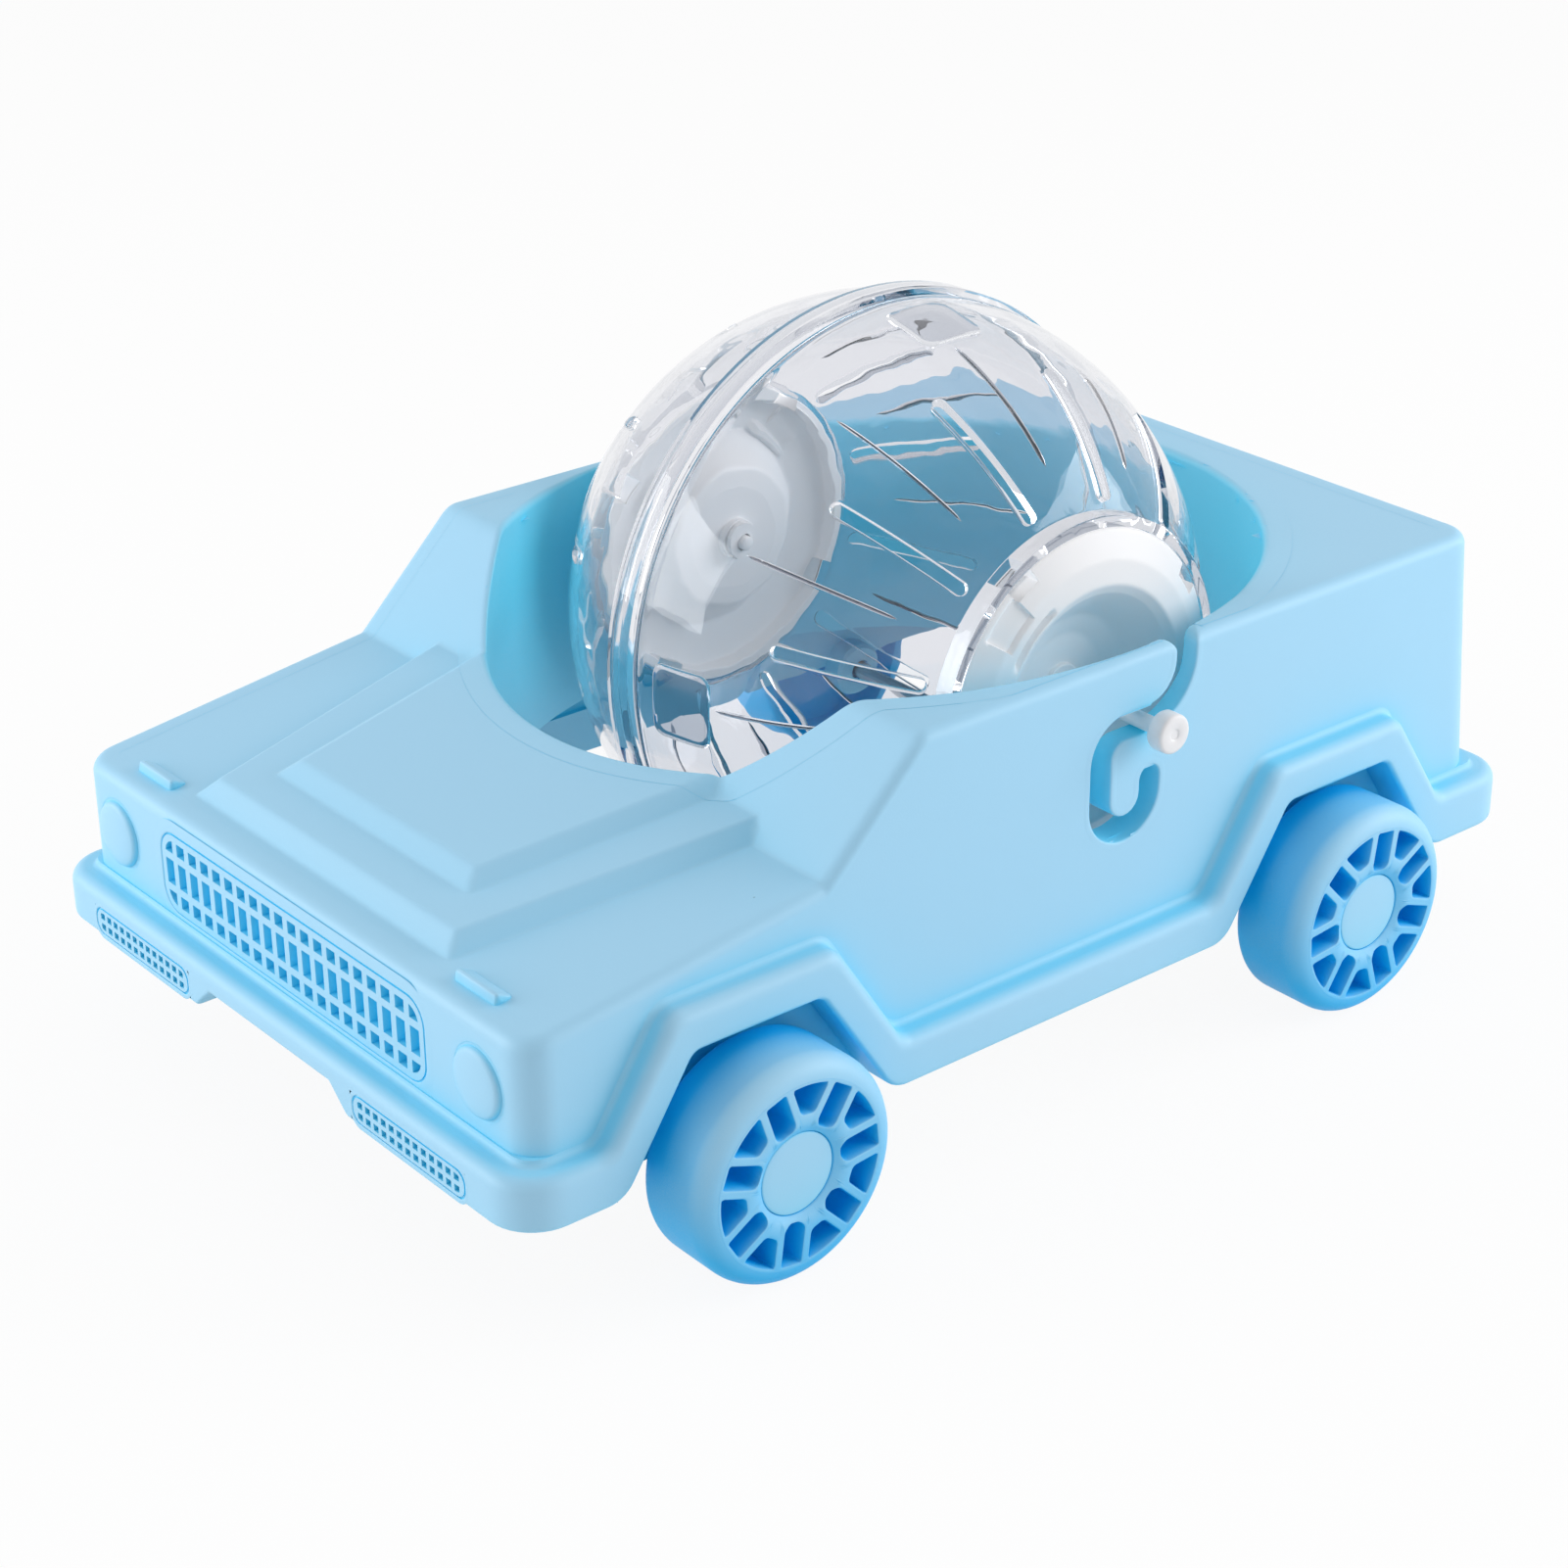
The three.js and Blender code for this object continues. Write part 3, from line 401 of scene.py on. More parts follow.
def arch_outline(axle_x, grow):
    """A wheel arch seen from the side, grown by a margin and carried on below the body."""
    low = 10.0
    half = ARCH_HALF + grow
    top = ARCH_TOP + grow
    foot = half + (top - low) * ARCH_FLARE
    return np.array([[axle_x - foot, low], [axle_x + foot, low], [axle_x + half, top], [axle_x - half, top]])


slot_hole = slot_outline(SLOT_TRIM)
slot_hole = np.concatenate([slot_hole, [[slot_hole[-1, 0], ABOVE_DECK], [slot_hole[0, 0], ABOVE_DECK]]])


def clear_of_slot(middles):
    """True for faces that the J slots don't take away."""
    x, y, z = middles.T
    return ~((np.abs(y) > SLOT_SIDE_Y) & inside_outline(slot_hole, x, z))


def clear_of_holes(middles):
    """True for faces of the body that no slot, wheel arch or grille opening takes away."""
    arch_trim, panel_trim = 2.5, 0.8
    x, y, z = middles.T
    gone = ~clear_of_slot(middles)
    for axle_x in (FRONT_AXLE_X, REAR_AXLE_X):
        gone |= (np.abs(y) > ARCH_SIDE_Y) & inside_outline(arch_outline(axle_x, arch_trim), x, z)
    in_width = np.abs(y) < GRILLE["wide"] / 2 + panel_trim
    in_height = np.abs(z - GRILLE["z"]) < GRILLE["tall"] / 2 + panel_trim
    return ~(gone | ((x > NOSE_X - 1) & in_width & in_height))


def clear_of_fog_panels(middles):
    """True for faces of the band that the openings of the fog panels don't take away."""
    x, y, z = middles.T
    in_width = np.abs(np.abs(y) - FOG["middle"]) < FOG["wide"] / 2 + 0.6
    in_height = np.abs(z - FOG["z"]) < FOG["tall"] / 2 + 0.2
    return ~((x > CAR_END - 1) & in_width & in_height)


# Lines across the car: closer at the steps' front edges, the creases of the windscreen and along the slots
step_edges = [SCREEN_FOOT_X + step["front"] - back for step in STEPS for back in (0, STEP_RUN)]
screen_creases = [53.0, 49.6, 46.7, SCREEN_TOP_X]
along_slots = np.arange(-35.0, -4.0, 3.0)
x_lines = lines_by_density(TAIL_X, NOSE_X, 1.9, [*step_edges, *screen_creases, *along_slots], 0.34, 1.5)


def body_top():
    """The top away from its edges. Columns follow the bonnet steps' sides, so each edge has its own lines."""
    x = x_lines[(x_lines > TAIL_X + TAIL_LEAN + 1) & (x_lines < NOSE_X - 1)]
    side = np.full_like(x, BODY_SIDE)
    marks = [0 * x]
    for step in STEPS[::-1]:
        marks += [step_half_width(step, x) + off for off in (-4.6, -2.8, -0.8, 0.6)]
    marks.append(side)
    counts = [12, 7, 4, 6, 5, 7, 4, 6, 12]
    spans = [
        low[:, None] + (high - low)[:, None] * np.linspace(0, 1, count, endpoint=False)
        for low, high, count in zip(marks, marks[1:], counts)
    ]
    half = np.concatenate([*spans, side[:, None]], 1)
    y = np.concatenate([-half[:, :0:-1], half], 1)
    x = x[:, None]
    z = body_height(x, y)

    def clear_of_edges(middles):
        at_x, at_y, _ = middles.T
        off_rim = well_distance(at_x, at_y) > RIM_ROUND + 0.4
        return off_rim & (edge_distance(at_x, at_y) > EDGE_ROUND + 1.4)

    outside = sheet(xyz(x, y, z), flip=True)
    under = sheet(xyz(x, y, z - WALL)[::3, ::3])
    return [keep_faces(outside, clear_of_edges), keep_faces(under, clear_of_edges)]


def rail_rounds(gap):
    """Edge rounds of the deck at this width: on a narrow rail the outer edge takes nearly all of it."""
    inner = np.clip(0.15 * gap, 0.35, RIM_ROUND)
    return np.minimum(EDGE_ROUND, gap - inner - 0.05), inner


def rounded_strip(path, inward, round_r, reach, lift, foot, wall_rows, shift=None):
    """A strip along a closed plan path: the top from reach inside it to its edge, the edge as a quarter
    circle, then the wall down to the foot. Inward is the direction into the top."""
    flat = round_r + (reach - round_r) * np.linspace(1, 0, 4)[:-1, None]
    angle = np.linspace(0, np.pi / 2, 9)[:, None]
    drop = np.concatenate([0 * flat, round_r * (1 - np.cos(angle))])
    away = np.concatenate([flat, round_r - round_r * np.sin(angle)])
    x, y = (path[:, n] + inward[:, n] * away for n in (0, 1))
    z = body_height(x, y) + lift - drop
    wall_z = z[-1] + (foot - z[-1]) * np.linspace(0, 1, wall_rows + 1)[1:, None]
    x, y = (np.concatenate([v, np.broadcast_to(v[-1], wall_z.shape)]) for v in (x, y))
    z = np.concatenate([z, wall_z])
    if shift is not None:
        x = x + shift(path[:, 0], z)
    return xyz(x, y, z)


def body_walls():
    """The outer edge and walls, round a rectangle with rounded corners. A narrow deck has a finer edge."""
    x0, x1, y1 = TAIL_X + BODY_CORNER, NOSE_X - BODY_CORNER, BODY_SIDE - BODY_CORNER
    straight = np.concatenate([[x0], x_lines[(x_lines > x0) & (x_lines < x1)], [x1]])
    across = lines_by_density(-y1, y1, 2.0, (-42, 42), 0.7, 3)
    corner = arc(0, 0, BODY_CORNER, 0, 90, 10)[1:-1]
    left = np.stack([straight[::-1], np.full_like(straight, BODY_SIDE)], 1)
    half = [np.array([x1, y1]) + corner, left, np.array([x0, y1]) + (corner * np.array([-1, 1]))[::-1]]
    other_half = [part[::-1] * np.array([1, -1]) for part in half[::-1]]
    rear = np.stack([np.full_like(across, TAIL_X), across[::-1]], 1)
    front = np.stack([np.full_like(across, NOSE_X), across], 1)
    path = np.concatenate([*half, rear, *other_half, front])
    centre = np.stack([np.clip(path[:, 0], x0, x1), np.clip(path[:, 1], -y1, y1)], 1)
    inward = (centre - path) / BODY_CORNER
    wide_deck = 60.0
    gap = np.where(np.abs(path[:, 1]) > y1, BODY_SIDE - well_half_width(path[:, 0]), wide_deck)
    round_r, rim_r = rail_rounds(gap)
    reach = np.minimum(round_r + 2.6, np.maximum(gap - 0.8 * rim_r, round_r + 0.02))
    outside = rounded_strip(path, inward, round_r, reach, 0.02, BODY_FOOT, 84, tail_shift)
    inside = outside + np.concatenate([inward, 0 * inward[:, :1]], 1) * WALL
    return [keep_faces(tube(outside), clear_of_holes),
            keep_faces(tube(inside[12::3], flip=True), clear_of_holes)]


def well_wall():
    """The well's rounded rim and wall, carried round an ellipse."""
    creases = np.array([0.36, 0.4, 0.45, 0.86])
    features = [np.pi / 2, 3 * np.pi / 2, *creases, *(2 * np.pi - creases)]
    angle = lines_by_density(0, 2 * np.pi, 0.018, features, 0.006, 0.12)[:-1]
    path = np.stack([WELL_X + WELL_LONG * np.cos(angle), WELL_WIDE * np.sin(angle)], 1)
    outwards = unit(np.stack([np.cos(angle) / WELL_LONG, np.sin(angle) / WELL_WIDE], 1))
    gap = (BODY_SIDE - np.abs(path[:, 1])) / np.maximum(np.abs(outwards[:, 1]), 0.05)
    outer_r, round_r = rail_rounds(gap)
    reach = np.minimum(round_r + 4.0, np.maximum(gap - 0.9 * outer_r, round_r + 0.02))
    inside = rounded_strip(path, outwards, round_r, reach, 0.04, WELL_FOOT, 60)
    outside = (inside + np.concatenate([outwards, 0 * angle[:, None]], 1) * WALL)[12::3]
    foot = np.stack([inside[-1], outside[-1]])
    return [keep_faces(tube(inside, flip=True), clear_of_slot),
            keep_faces(tube(outside), clear_of_slot),
            tube(foot, flip=True)]


def hole_lining(path, place, flange=1.7, soft=0.4, closed=True, ledge=0.0):
    """The edge of an opening, carried along its outline: a narrow flange flush with the outer face, a rounded
    edge, the wall through the thickness and the same again inside, or a ledge behind a panel. Place turns
    outline points, a depth from a face and a share of the thickness into places."""
    normal = outward_normals(path)
    if not closed:
        normal[0] = normal[-1] = (0.0, -1.0)
    angle = np.linspace(0, np.pi / 2, 5)
    flange_depths = [0.02, -0.02, -0.03]
    edge_depth = flange_depths[-1]
    grow = np.concatenate([np.linspace(flange, soft, 4)[:-1], soft - soft * np.sin(angle)])
    deep = np.concatenate([flange_depths, edge_depth + (soft - edge_depth) * (1 - np.cos(angle))])
    outer = [place(path + normal * g, d, 0.0) for g, d in zip(grow, deep)]
    if ledge:
        inner = [place(path - normal * into, soft + 0.12, 0.0) for into in (0.0, ledge)]
    else:
        inner = [place(path + normal * g, -d, 1.0) for g, d in zip(grow[::-1], deep[::-1])]
    return sheet(np.stack(outer + inner), wrap_columns=closed)


def pad_face(z):
    """The inner face of the thick pad round a slot: it stands further into the well with depth."""
    return WELL_WIDE - PAD_SLOPE * (CAB_TOP - z)


def at_left_side(points, depth, share):
    """A slot point on the left: its outer face follows the wall's rounded top edge, its inner one the pad or
    the well, whichever stands further in."""
    x, z = points.T
    outer_r, inner_r = rail_rounds(BODY_SIDE - well_half_width(x))
    over_out = np.clip(z - CAB_TOP + outer_r, 0, outer_r)
    over_in = np.clip(z - CAB_TOP + inner_r, 0, inner_r)
    outer = BODY_SIDE - outer_r + np.sqrt(outer_r**2 - over_out**2)
    inner = np.minimum(well_half_width(x), pad_face(z)) + inner_r - np.sqrt(inner_r**2 - over_in**2)
    return xyz(x, outer * (1 - share) + inner * share - depth, z)


def at_front(face_x, thick):
    """The same for openings in an upright front face: outline points are (y, z)."""
    def place(points, depth, share):
        return xyz(face_x - thick * share - depth, *points.T)

    return place


def slot_pad():
    """The pad round the left slot: its sloped inner face over a grid of x and z, with a rounded border that
    goes back into the well's side."""
    columns, rows, border = 56, 62, 0.3
    sunk_edge = [1, 0.05]
    inner_x = np.linspace(PAD_X[0] + border, PAD_X[1] - border, columns)
    x = np.concatenate([[PAD_X[0]] * 2, inner_x, [PAD_X[1]] * 2])
    z = np.concatenate([[PAD_FOOT] * 2, np.linspace(PAD_FOOT + border, CAB_TOP - 1.0, rows)])[:, None]
    sunk_x = np.concatenate([sunk_edge, np.zeros(columns), sunk_edge[::-1]])
    sunk_z = np.concatenate([sunk_edge, np.zeros(rows)])[:, None]
    sunk = np.maximum(sunk_x, sunk_z)
    y = pad_face(z) + sunk * (well_half_width(x) + 0.5 - pad_face(z))
    return keep_faces(sheet(xyz(x, y, z)), clear_of_slot)


def lamp_dome(side):
    """A round lamp on the nose: a shallow ring groove, a rounded rim and a low dome, turned about X."""
    profile = [(7.2, -0.5), (7.0, 0.02), (6.7, 0.0), (6.5, -0.25), (6.3, -0.2), (6.2, 0.45), (5.9, 0.85),
               (5.4, 1.05), (4.2, 1.25), (2.8, 1.38), (1.4, 1.44), (0.0, 1.46)]
    points, faces = turned(profile, 72)
    return points[:, [1, 0, 2]] + np.array([NOSE_X, side * LAMP["y"], LAMP["z"]]), faces


def bonnet_bar(side):
    """A short wedge bar on the bonnet: its rounded section carried across the car, drawn in at both ends."""
    x = NOSE_X - BAR["behind_nose"]
    z = BONNET_FRONT + 0.132 * BAR["behind_nose"]
    corners = [(x - 1.9, z - 1.0), (x + 1.7, z - 1.0), (x + 1.6, z), (x + 1.2, z + 1.9), (x - 1.7, z + 0.5)]
    section = filleted(corners, [0.1, 0.1, 0.15, 0.5, 0.3], 4, 3)
    middle = np.array([x, z - 0.4])
    along = np.array([-5.75, -5.7, -5.5, -5.2, 5.2, 5.5, 5.7, 5.75])
    size = np.array([0.0, 0.8, 0.94, 1.0, 1.0, 0.94, 0.8, 0.0])
    ring = middle + (section - middle) * size[:, None, None]
    y = (side * BAR["y"] + along)[:, None]
    return tube(xyz(ring[..., 0], y, ring[..., 1]))


def wheel_house(axle_x):
    """The arch's inner wall, carried from the band back to the bearing's panel, that panel, and its boss."""
    half, low, top, start_y = ARCH_HALF + 0.4, 22.0, ARCH_TOP + 0.2, 73.5
    foot = half + (ARCH_TOP - low) * ARCH_FLARE
    corners = [(axle_x + foot, low), (axle_x + half, top), (axle_x - half, top), (axle_x - foot, low)]
    path = filleted(corners, [1, 3.2, 3.2, 1], 8, 9, closed=False)
    wall = xyz(path[:, 0], np.linspace(start_y, BEARING_Y, 5)[:, None], path[:, 1])
    share = np.linspace(0, 1, 9)[:, None, None]
    count = len(path) // 2
    flat = path[None, :count] * (1 - share) + path[None, ::-1][:, :count] * share
    panel = xyz(flat[..., 0], BEARING_Y, flat[..., 1])
    points, faces = turned([(6.0, -0.2), (6.0, 3.8), (5.4, 4.4), (2.1, 4.4)], 32)
    boss = (np.array([axle_x, BEARING_Y, WHEEL_R]) - points, faces)
    return [sheet(wall), sheet(panel, flip=True), boss]


# Skirt band
def skirt_side(half, top, front, sill, rear, bends):
    """An edge of the band along the left side, from the front bumper over both arches to the rear one."""
    reach = CAR_END - SKIRT_CORNER

    def foot(height):
        return half + (top - height) * ARCH_FLARE

    corners = [(reach, front)]
    for axle_x, ahead, behind in ((FRONT_AXLE_X, front, sill), (REAR_AXLE_X, sill, rear)):
        corners += [(axle_x + foot(ahead), ahead), (axle_x + half, top)]
        corners += [(axle_x - half, top), (axle_x - foot(behind), behind)]
    corners.append((-reach, rear))
    x, z = filleted(corners, [1, *bends, *bends, 1], 7, 7, closed=False).T
    return xyz(x, BODY_SIDE, z)


def skirt_path():
    """Places on the body all round the car: the band's upper edge, its lower edge and its way out."""
    upper = skirt_side(BAND_HALF, BAND_TOP, BUMPER_TOP, SILL_TOP, BUMPER_TOP, [4.5] * 4)
    lower = skirt_side(ARCH_HALF, ARCH_TOP, FRONT_FOOT, SILL_FOOT, REAR_FOOT, [6.0, 3.0, 3.0, 6.0])
    side = np.stack([upper, lower, np.broadcast_to([0.0, 1.0, 0.0], upper.shape)])
    corner_r = SKIRT_CORNER - SKIRT_OUT
    end_x, flat_y = CAR_END - SKIRT_OUT, BODY_SIDE - corner_r
    raise_start, raise_end, raised_foot = 24.5, 19.5, 27.1
    marks = [FOG["middle"] + FOG["wide"] / 2, FOG["middle"] - FOG["wide"] / 2, raise_start, raise_end]
    y_lines = lines_by_density(-flat_y, flat_y, 2.2, [*marks, *(-m for m in marks)], 0.6, 2.0)[::-1]
    raised = np.interp(np.abs(y_lines), [raise_end, raise_start], [raised_foot, FRONT_FOOT])
    bow = np.radians(np.linspace(90, 0, 11))[1:-1]

    def link(x, y, out_x, out_y, low_z):
        return np.stack([xyz(x, y, BUMPER_TOP), xyz(x, y, low_z), xyz(out_x, out_y + 0 * y, 0.0)])

    def corner(end, low_z):
        out_x, out_y = end * np.cos(bow), np.sin(bow)
        x = end * (end_x - corner_r) + corner_r * out_x
        return link(x, flat_y + corner_r * out_y, out_x, out_y, low_z)

    front, rear = link(end_x, y_lines, 1, 0, raised), link(-end_x, y_lines, -1, 0, REAR_FOOT)
    corner_front, corner_rear = corner(1, FRONT_FOOT), corner(-1, REAR_FOOT)
    chain = [
        side, corner_rear, rear, (corner_rear * MIRROR_Y)[:, ::-1],
        (side * MIRROR_Y)[:, ::-1], corner_front * MIRROR_Y, front[:, ::-1], corner_front[:, ::-1],
    ]
    return np.concatenate(chain, 1)


def skirt_band():
    """The band all round the car: at each place along it, a section with rounded edges between its upper and
    lower edge, standing out along the plan's outward direction, with a small fillet against the body."""
    top, low, out = skirt_path()
    width = np.linalg.norm(top - low, axis=1)
    soft, fillet_r, lip = 1.0, 1.2, 3.4
    angle = np.linspace(0, np.pi / 2, 8)
    fillet = np.linspace(0, np.pi / 2, 5)
    down = np.concatenate([
        [-fillet_r], -fillet_r + fillet_r * np.sin(fillet), SKIRT_ROUND * (1 - np.cos(angle)),
    ])
    proud = np.concatenate([
        [-lip], fillet_r - fillet_r * np.cos(fillet), SKIRT_OUT - SKIRT_ROUND + SKIRT_ROUND * np.sin(angle),
    ])
    rise = np.concatenate([soft * (1 - np.sin(angle)), [0.0]])
    proud_low = np.concatenate([SKIRT_OUT - soft + soft * np.cos(angle), [-WALL]])
    face = np.linspace(0, 1, 11)[1:-1, None]
    share_top = 1 - down[:, None] / width
    share_low = rise[:, None] / width
    share_face = share_top[-1] * (1 - face) + share_low[0] * face
    share = np.concatenate([share_top, share_face, share_low, np.full((1, len(width)), 0.5)])
    stand = np.concatenate([proud, np.full(len(face), SKIRT_OUT), proud_low, [-WALL]])
    places = low + (top - low) * share[..., None] + out * stand[:, None, None]
    return sheet(places, wrap_rows=True, wrap_columns=True, flip=True)


# Finishes
def feed(tree, node, inputs):
    """Give a node's inputs links from other nodes or plain values."""
    for label, value in inputs.items():
        if isinstance(value, bpy.types.NodeSocket):
            tree.links.new(value, node.inputs[label])
        else:
            node.inputs[label].default_value = value
    return node


def add_node(tree, kind, inputs, **settings):
    """A new shader node with its settings and inputs."""
    return feed(tree, with_settings(tree.nodes.new("ShaderNode" + kind), **settings), inputs)


def noise(tree, scale, detail, vector):
    """A noise pattern from 0 to 1."""
    return add_node(tree, "TexNoise", {"Scale": scale, "Detail": detail, "Vector": vector}).outputs["Fac"]


def ranged(tree, value, low, high, out_low, out_high):
    """A value carried from one range to another."""
    inputs = {"Value": value, "From Min": low, "From Max": high, "To Min": out_low, "To Max": out_high}
    return add_node(tree, "MapRange", inputs).outputs["Result"]


def worked_out(tree, operation, first, second):
    """A sum on two values, kept from 0 to 1."""
    node = add_node(tree, "Math", {0: first, 1: second}, operation=operation, use_clamp=True)
    return node.outputs["Value"]


def mixed(tree, share, first, second):
    """A mix of two colours."""
    inputs = {"Factor": share, "A": first, "B": second}
    return add_node(tree, "Mix", inputs, data_type="RGBA").outputs["Result"]


def bumped(tree, height, strength, distance):
    """The normal of a surface with a fine height on it."""
    inputs = {"Strength": strength, "Distance": distance, "Height": height}
    return add_node(tree, "Bump", inputs).outputs["Normal"]


def finish_tree(name):
    """A material with its Principled shader and an Object coordinate."""
    finish = bpy.data.materials.new(name)
    finish.use_nodes = True
    tree = finish.node_tree
    coordinate = tree.nodes.new("ShaderNodeTexCoord")
    return finish, tree, tree.nodes["Principled BSDF"], coordinate.outputs["Object"]


def moulded_finish(name, base, deep, painted_shade_colour, roughness, bump, reach=0.03, full=0.1):
    """Moulded plastic with a slow drift of tone, a fine grain and rare specks. Its hollows, found by ambient
    occlusion, are painted a deeper colour: painted shade, standing in for the shade and the wall-to-wall
    light of a coloured plastic."""
    finish, tree, shader, place = finish_tree(name)
    grain = noise(tree, 2600, 2, place)
    drift = ranged(tree, noise(tree, 14, 2, place), 0.3, 0.7, 0.0, 0.12)
    tone = mixed(tree, drift, (*base, 1), (*deep, 1))
    cells = add_node(tree, "TexVoronoi", {"Scale": 95, "Vector": place}).outputs
    chosen = add_node(tree, "SeparateColor", {"Color": cells["Color"]}).outputs["Red"]
    rare = ranged(tree, chosen, 0.93, 0.94, 0.0, 0.55)
    dot = ranged(tree, cells["Distance"], 0.02, 0.034, 1.0, 0.0)
    speck = worked_out(tree, "MULTIPLY", rare, dot)
    speckled = mixed(tree, speck, tone, (0.05, 0.12, 0.2, 1))
    # Painted shade: where ambient occlusion finds hollows and creases, the base colour is mixed towards the
    # painted shade colour
    open_share = add_node(tree, "AmbientOcclusion", {"Distance": reach}, samples=8).outputs["AO"]
    painted_shade_share = ranged(tree, open_share, full, 0.95, 1.0, 0.0)
    uneven = ranged(tree, grain, 0.3, 0.7, -0.05, 0.05)
    feed(tree, shader, {
        "Base Color": mixed(tree, painted_shade_share, speckled, (*painted_shade_colour, 1)),
        "Roughness": worked_out(tree, "ADD", roughness, uneven), "Specular IOR Level": 0.35,
        "Normal": bumped(tree, grain, bump, 0.00005),
    })
    return finish


def clear_finish():
    """Clear plastic with a slow moulded ripple. Lamps shine through it, its wall takes a little light, and a
    ray that is caught in an edge leaves straight on with a grey tint, painted shade along the edges."""
    finish, tree, shader, place = finish_tree("clear plastic")
    feed(tree, shader, {
        "Base Color": (0.90, 0.905, 0.93, 1), "Roughness": 0.0, "IOR": 1.38, "Transmission Weight": 1.0,
        "Normal": bumped(tree, noise(tree, 55, 2, place), 0.55, 0.0006),
    })
    path = tree.nodes.new("ShaderNodeLightPath").outputs
    lighting = worked_out(tree, "MAXIMUM", path["Is Shadow Ray"], path["Is Diffuse Ray"])
    long_way = worked_out(tree, "GREATER_THAN", path["Ray Depth"], 3.5)
    straight = worked_out(tree, "MAXIMUM", long_way, lighting)
    caught = worked_out(tree, "SUBTRACT", long_way, lighting)
    # Painted shade: a ray caught in an edge passes on tinted grey, which draws grey lines along the slot
    # edges
    painted_edge_shade = mixed(tree, caught, (1, 1, 1, 1), (0.81, 0.825, 0.85, 1))
    through = add_node(tree, "BsdfTransparent", {"Color": painted_edge_shade}).outputs["BSDF"]
    surface = add_node(tree, "MixShader", {"Fac": straight, 1: shader.outputs["BSDF"], 2: through})
    inside = add_node(tree, "VolumeAbsorption", {"Color": (0.80, 0.81, 0.84, 1), "Density": 40})
    feed(tree, tree.nodes["Material Output"], {
        "Surface": surface.outputs["Shader"], "Volume": inside.outputs["Volume"],
    })
    return finish


def steel_finish():
    """Drawn steel rod: fine lines along the rod vary its tone and roughness."""
    finish, tree, shader, place = finish_tree("bright steel")
    stretch = add_node(tree, "Mapping", {"Scale": (900, 8, 900), "Vector": place}).outputs["Vector"]
    lines = noise(tree, 1.0, 3, stretch)
    feed(tree, shader, {
        "Base Color": mixed(tree, lines, (0.48, 0.49, 0.51, 1), (0.66, 0.67, 0.69, 1)), "Metallic": 1.0,
        "Roughness": ranged(tree, lines, 0.3, 0.7, 0.22, 0.42),
    })
    return finish


BLUE = {"base": (0.38, 0.68, 0.90), "deep": (0.34, 0.65, 0.88), "roughness": 0.46, "bump": 0.25}
WHITE = {"base": (0.82, 0.82, 0.84), "deep": (0.79, 0.79, 0.82), "roughness": 0.38, "bump": 0.15}
# The wheels take painted shade from further off, so their treads under the arches and by the floor are
# painted a deeper blue
wheel_blue = moulded_finish("wheel blue plastic", painted_shade_colour=(0.0, 0.48, 0.92), reach=0.07, full=0.35, **BLUE)
# Painted shade in each finish's hollows: a deep saturated blue in the blue plastic, a faint blue-grey in the
# white
finishes = {
    "light_blue_plastic": moulded_finish("light blue plastic", painted_shade_colour=(0.06, 0.72, 1.0), **BLUE),
    "white_plastic": moulded_finish("white plastic", painted_shade_colour=(0.94, 0.95, 0.97), **WHITE),
    "clear_plastic": clear_finish(),
    "bright_steel": steel_finish(),
}
for entry in frame["record"]["subparts"]:
    node = frame["nodes"][entry["node"]]
    node.data.materials.clear()
    node.data.materials.append(finishes[entry["material_slot"]])


# Body pieces
def car_piece(name, sheets, sharp=36):
    """A piece of the car's body."""
    make_piece(name, sheets, "light_blue_plastic", "car", ("car_body",), sharp)


def panel_edge(panel, middle, corner, place, flange, soft):
    """The edge of the opening round a panel, with a fine gap, and the ledge behind it."""
    wide, tall = panel["wide"] + 2 * PANEL_GAP, panel["tall"] + 2 * PANEL_GAP
    return hole_lining(rectangle(middle, panel["z"], wide, tall, corner), place, flange, soft, ledge=0.8)


car_piece("car_top", body_top(), 50)
car_piece("car_walls", body_walls(), 50)
car_piece("car_well", well_wall(), 50)
car_piece("skirt_band", [keep_faces(skirt_band(), clear_of_fog_panels)], 50)
left_slot = [hole_lining(slot_outline(run=2.4), at_left_side, closed=False), slot_pad()]
car_piece("slot_edges", left_slot + [mirrored(part) for part in left_slot])
panel_edges = [panel_edge(GRILLE, 0, GRILLE["corner"] + PANEL_GAP, at_front(NOSE_X, WALL), 2.6, 0.25)]
for side in (1, -1):
    at_bumper = at_front(CAR_END, BUMPER_WALL)
    panel_edges.append(panel_edge(FOG, side * FOG["middle"], FOG["corner"], at_bumper, 0.9, 0.2))
car_piece("panel_edges", panel_edges)
car_piece("lamps_and_bars", [part(side) for part in (lamp_dome, bonnet_bar) for side in (1, -1)], 60)
houses = []
for axle_x in (FRONT_AXLE_X, REAR_AXLE_X):
    house = wheel_house(axle_x)
    houses += house + [mirrored(part) for part in house]
car_piece("wheel_houses", houses)


# Wheels
def pierced(cell, window):
    """A face with a blind window: rings run from the cell's edge to the window, over its rounded edge, down
    its wall and across its floor. The third coordinate is the depth, more in the dish round the hub."""
    normal = outward_normals(window)
    middle = window.mean(0)
    start = window + normal * 0.3
    face = [(cell + (start - cell) * share, 0.0) for share in (0.0, 0.3, 0.6, 0.85, 1.0)]
    face += [(window + normal * 0.1, 0.06), (window, 0.25)]
    rows = [(ring, deep + np.clip((DISH_R - np.hypot(*ring.T)) / DISH_RUN, 0, 1)) for ring, deep in face]
    for grow, deep in ((-0.05, WINDOW_DEPTH / 2), (-0.1, WINDOW_DEPTH - 0.3), (-0.4, WINDOW_DEPTH)):
        rows.append((window + normal * grow, np.full(len(window), deep)))
    for ring in ((window + middle) / 2, 0 * window + middle):
        rows.append((ring, np.full(len(window), WINDOW_DEPTH)))
    return np.stack([np.concatenate([ring, deep[:, None]], 1) for ring, deep in rows])


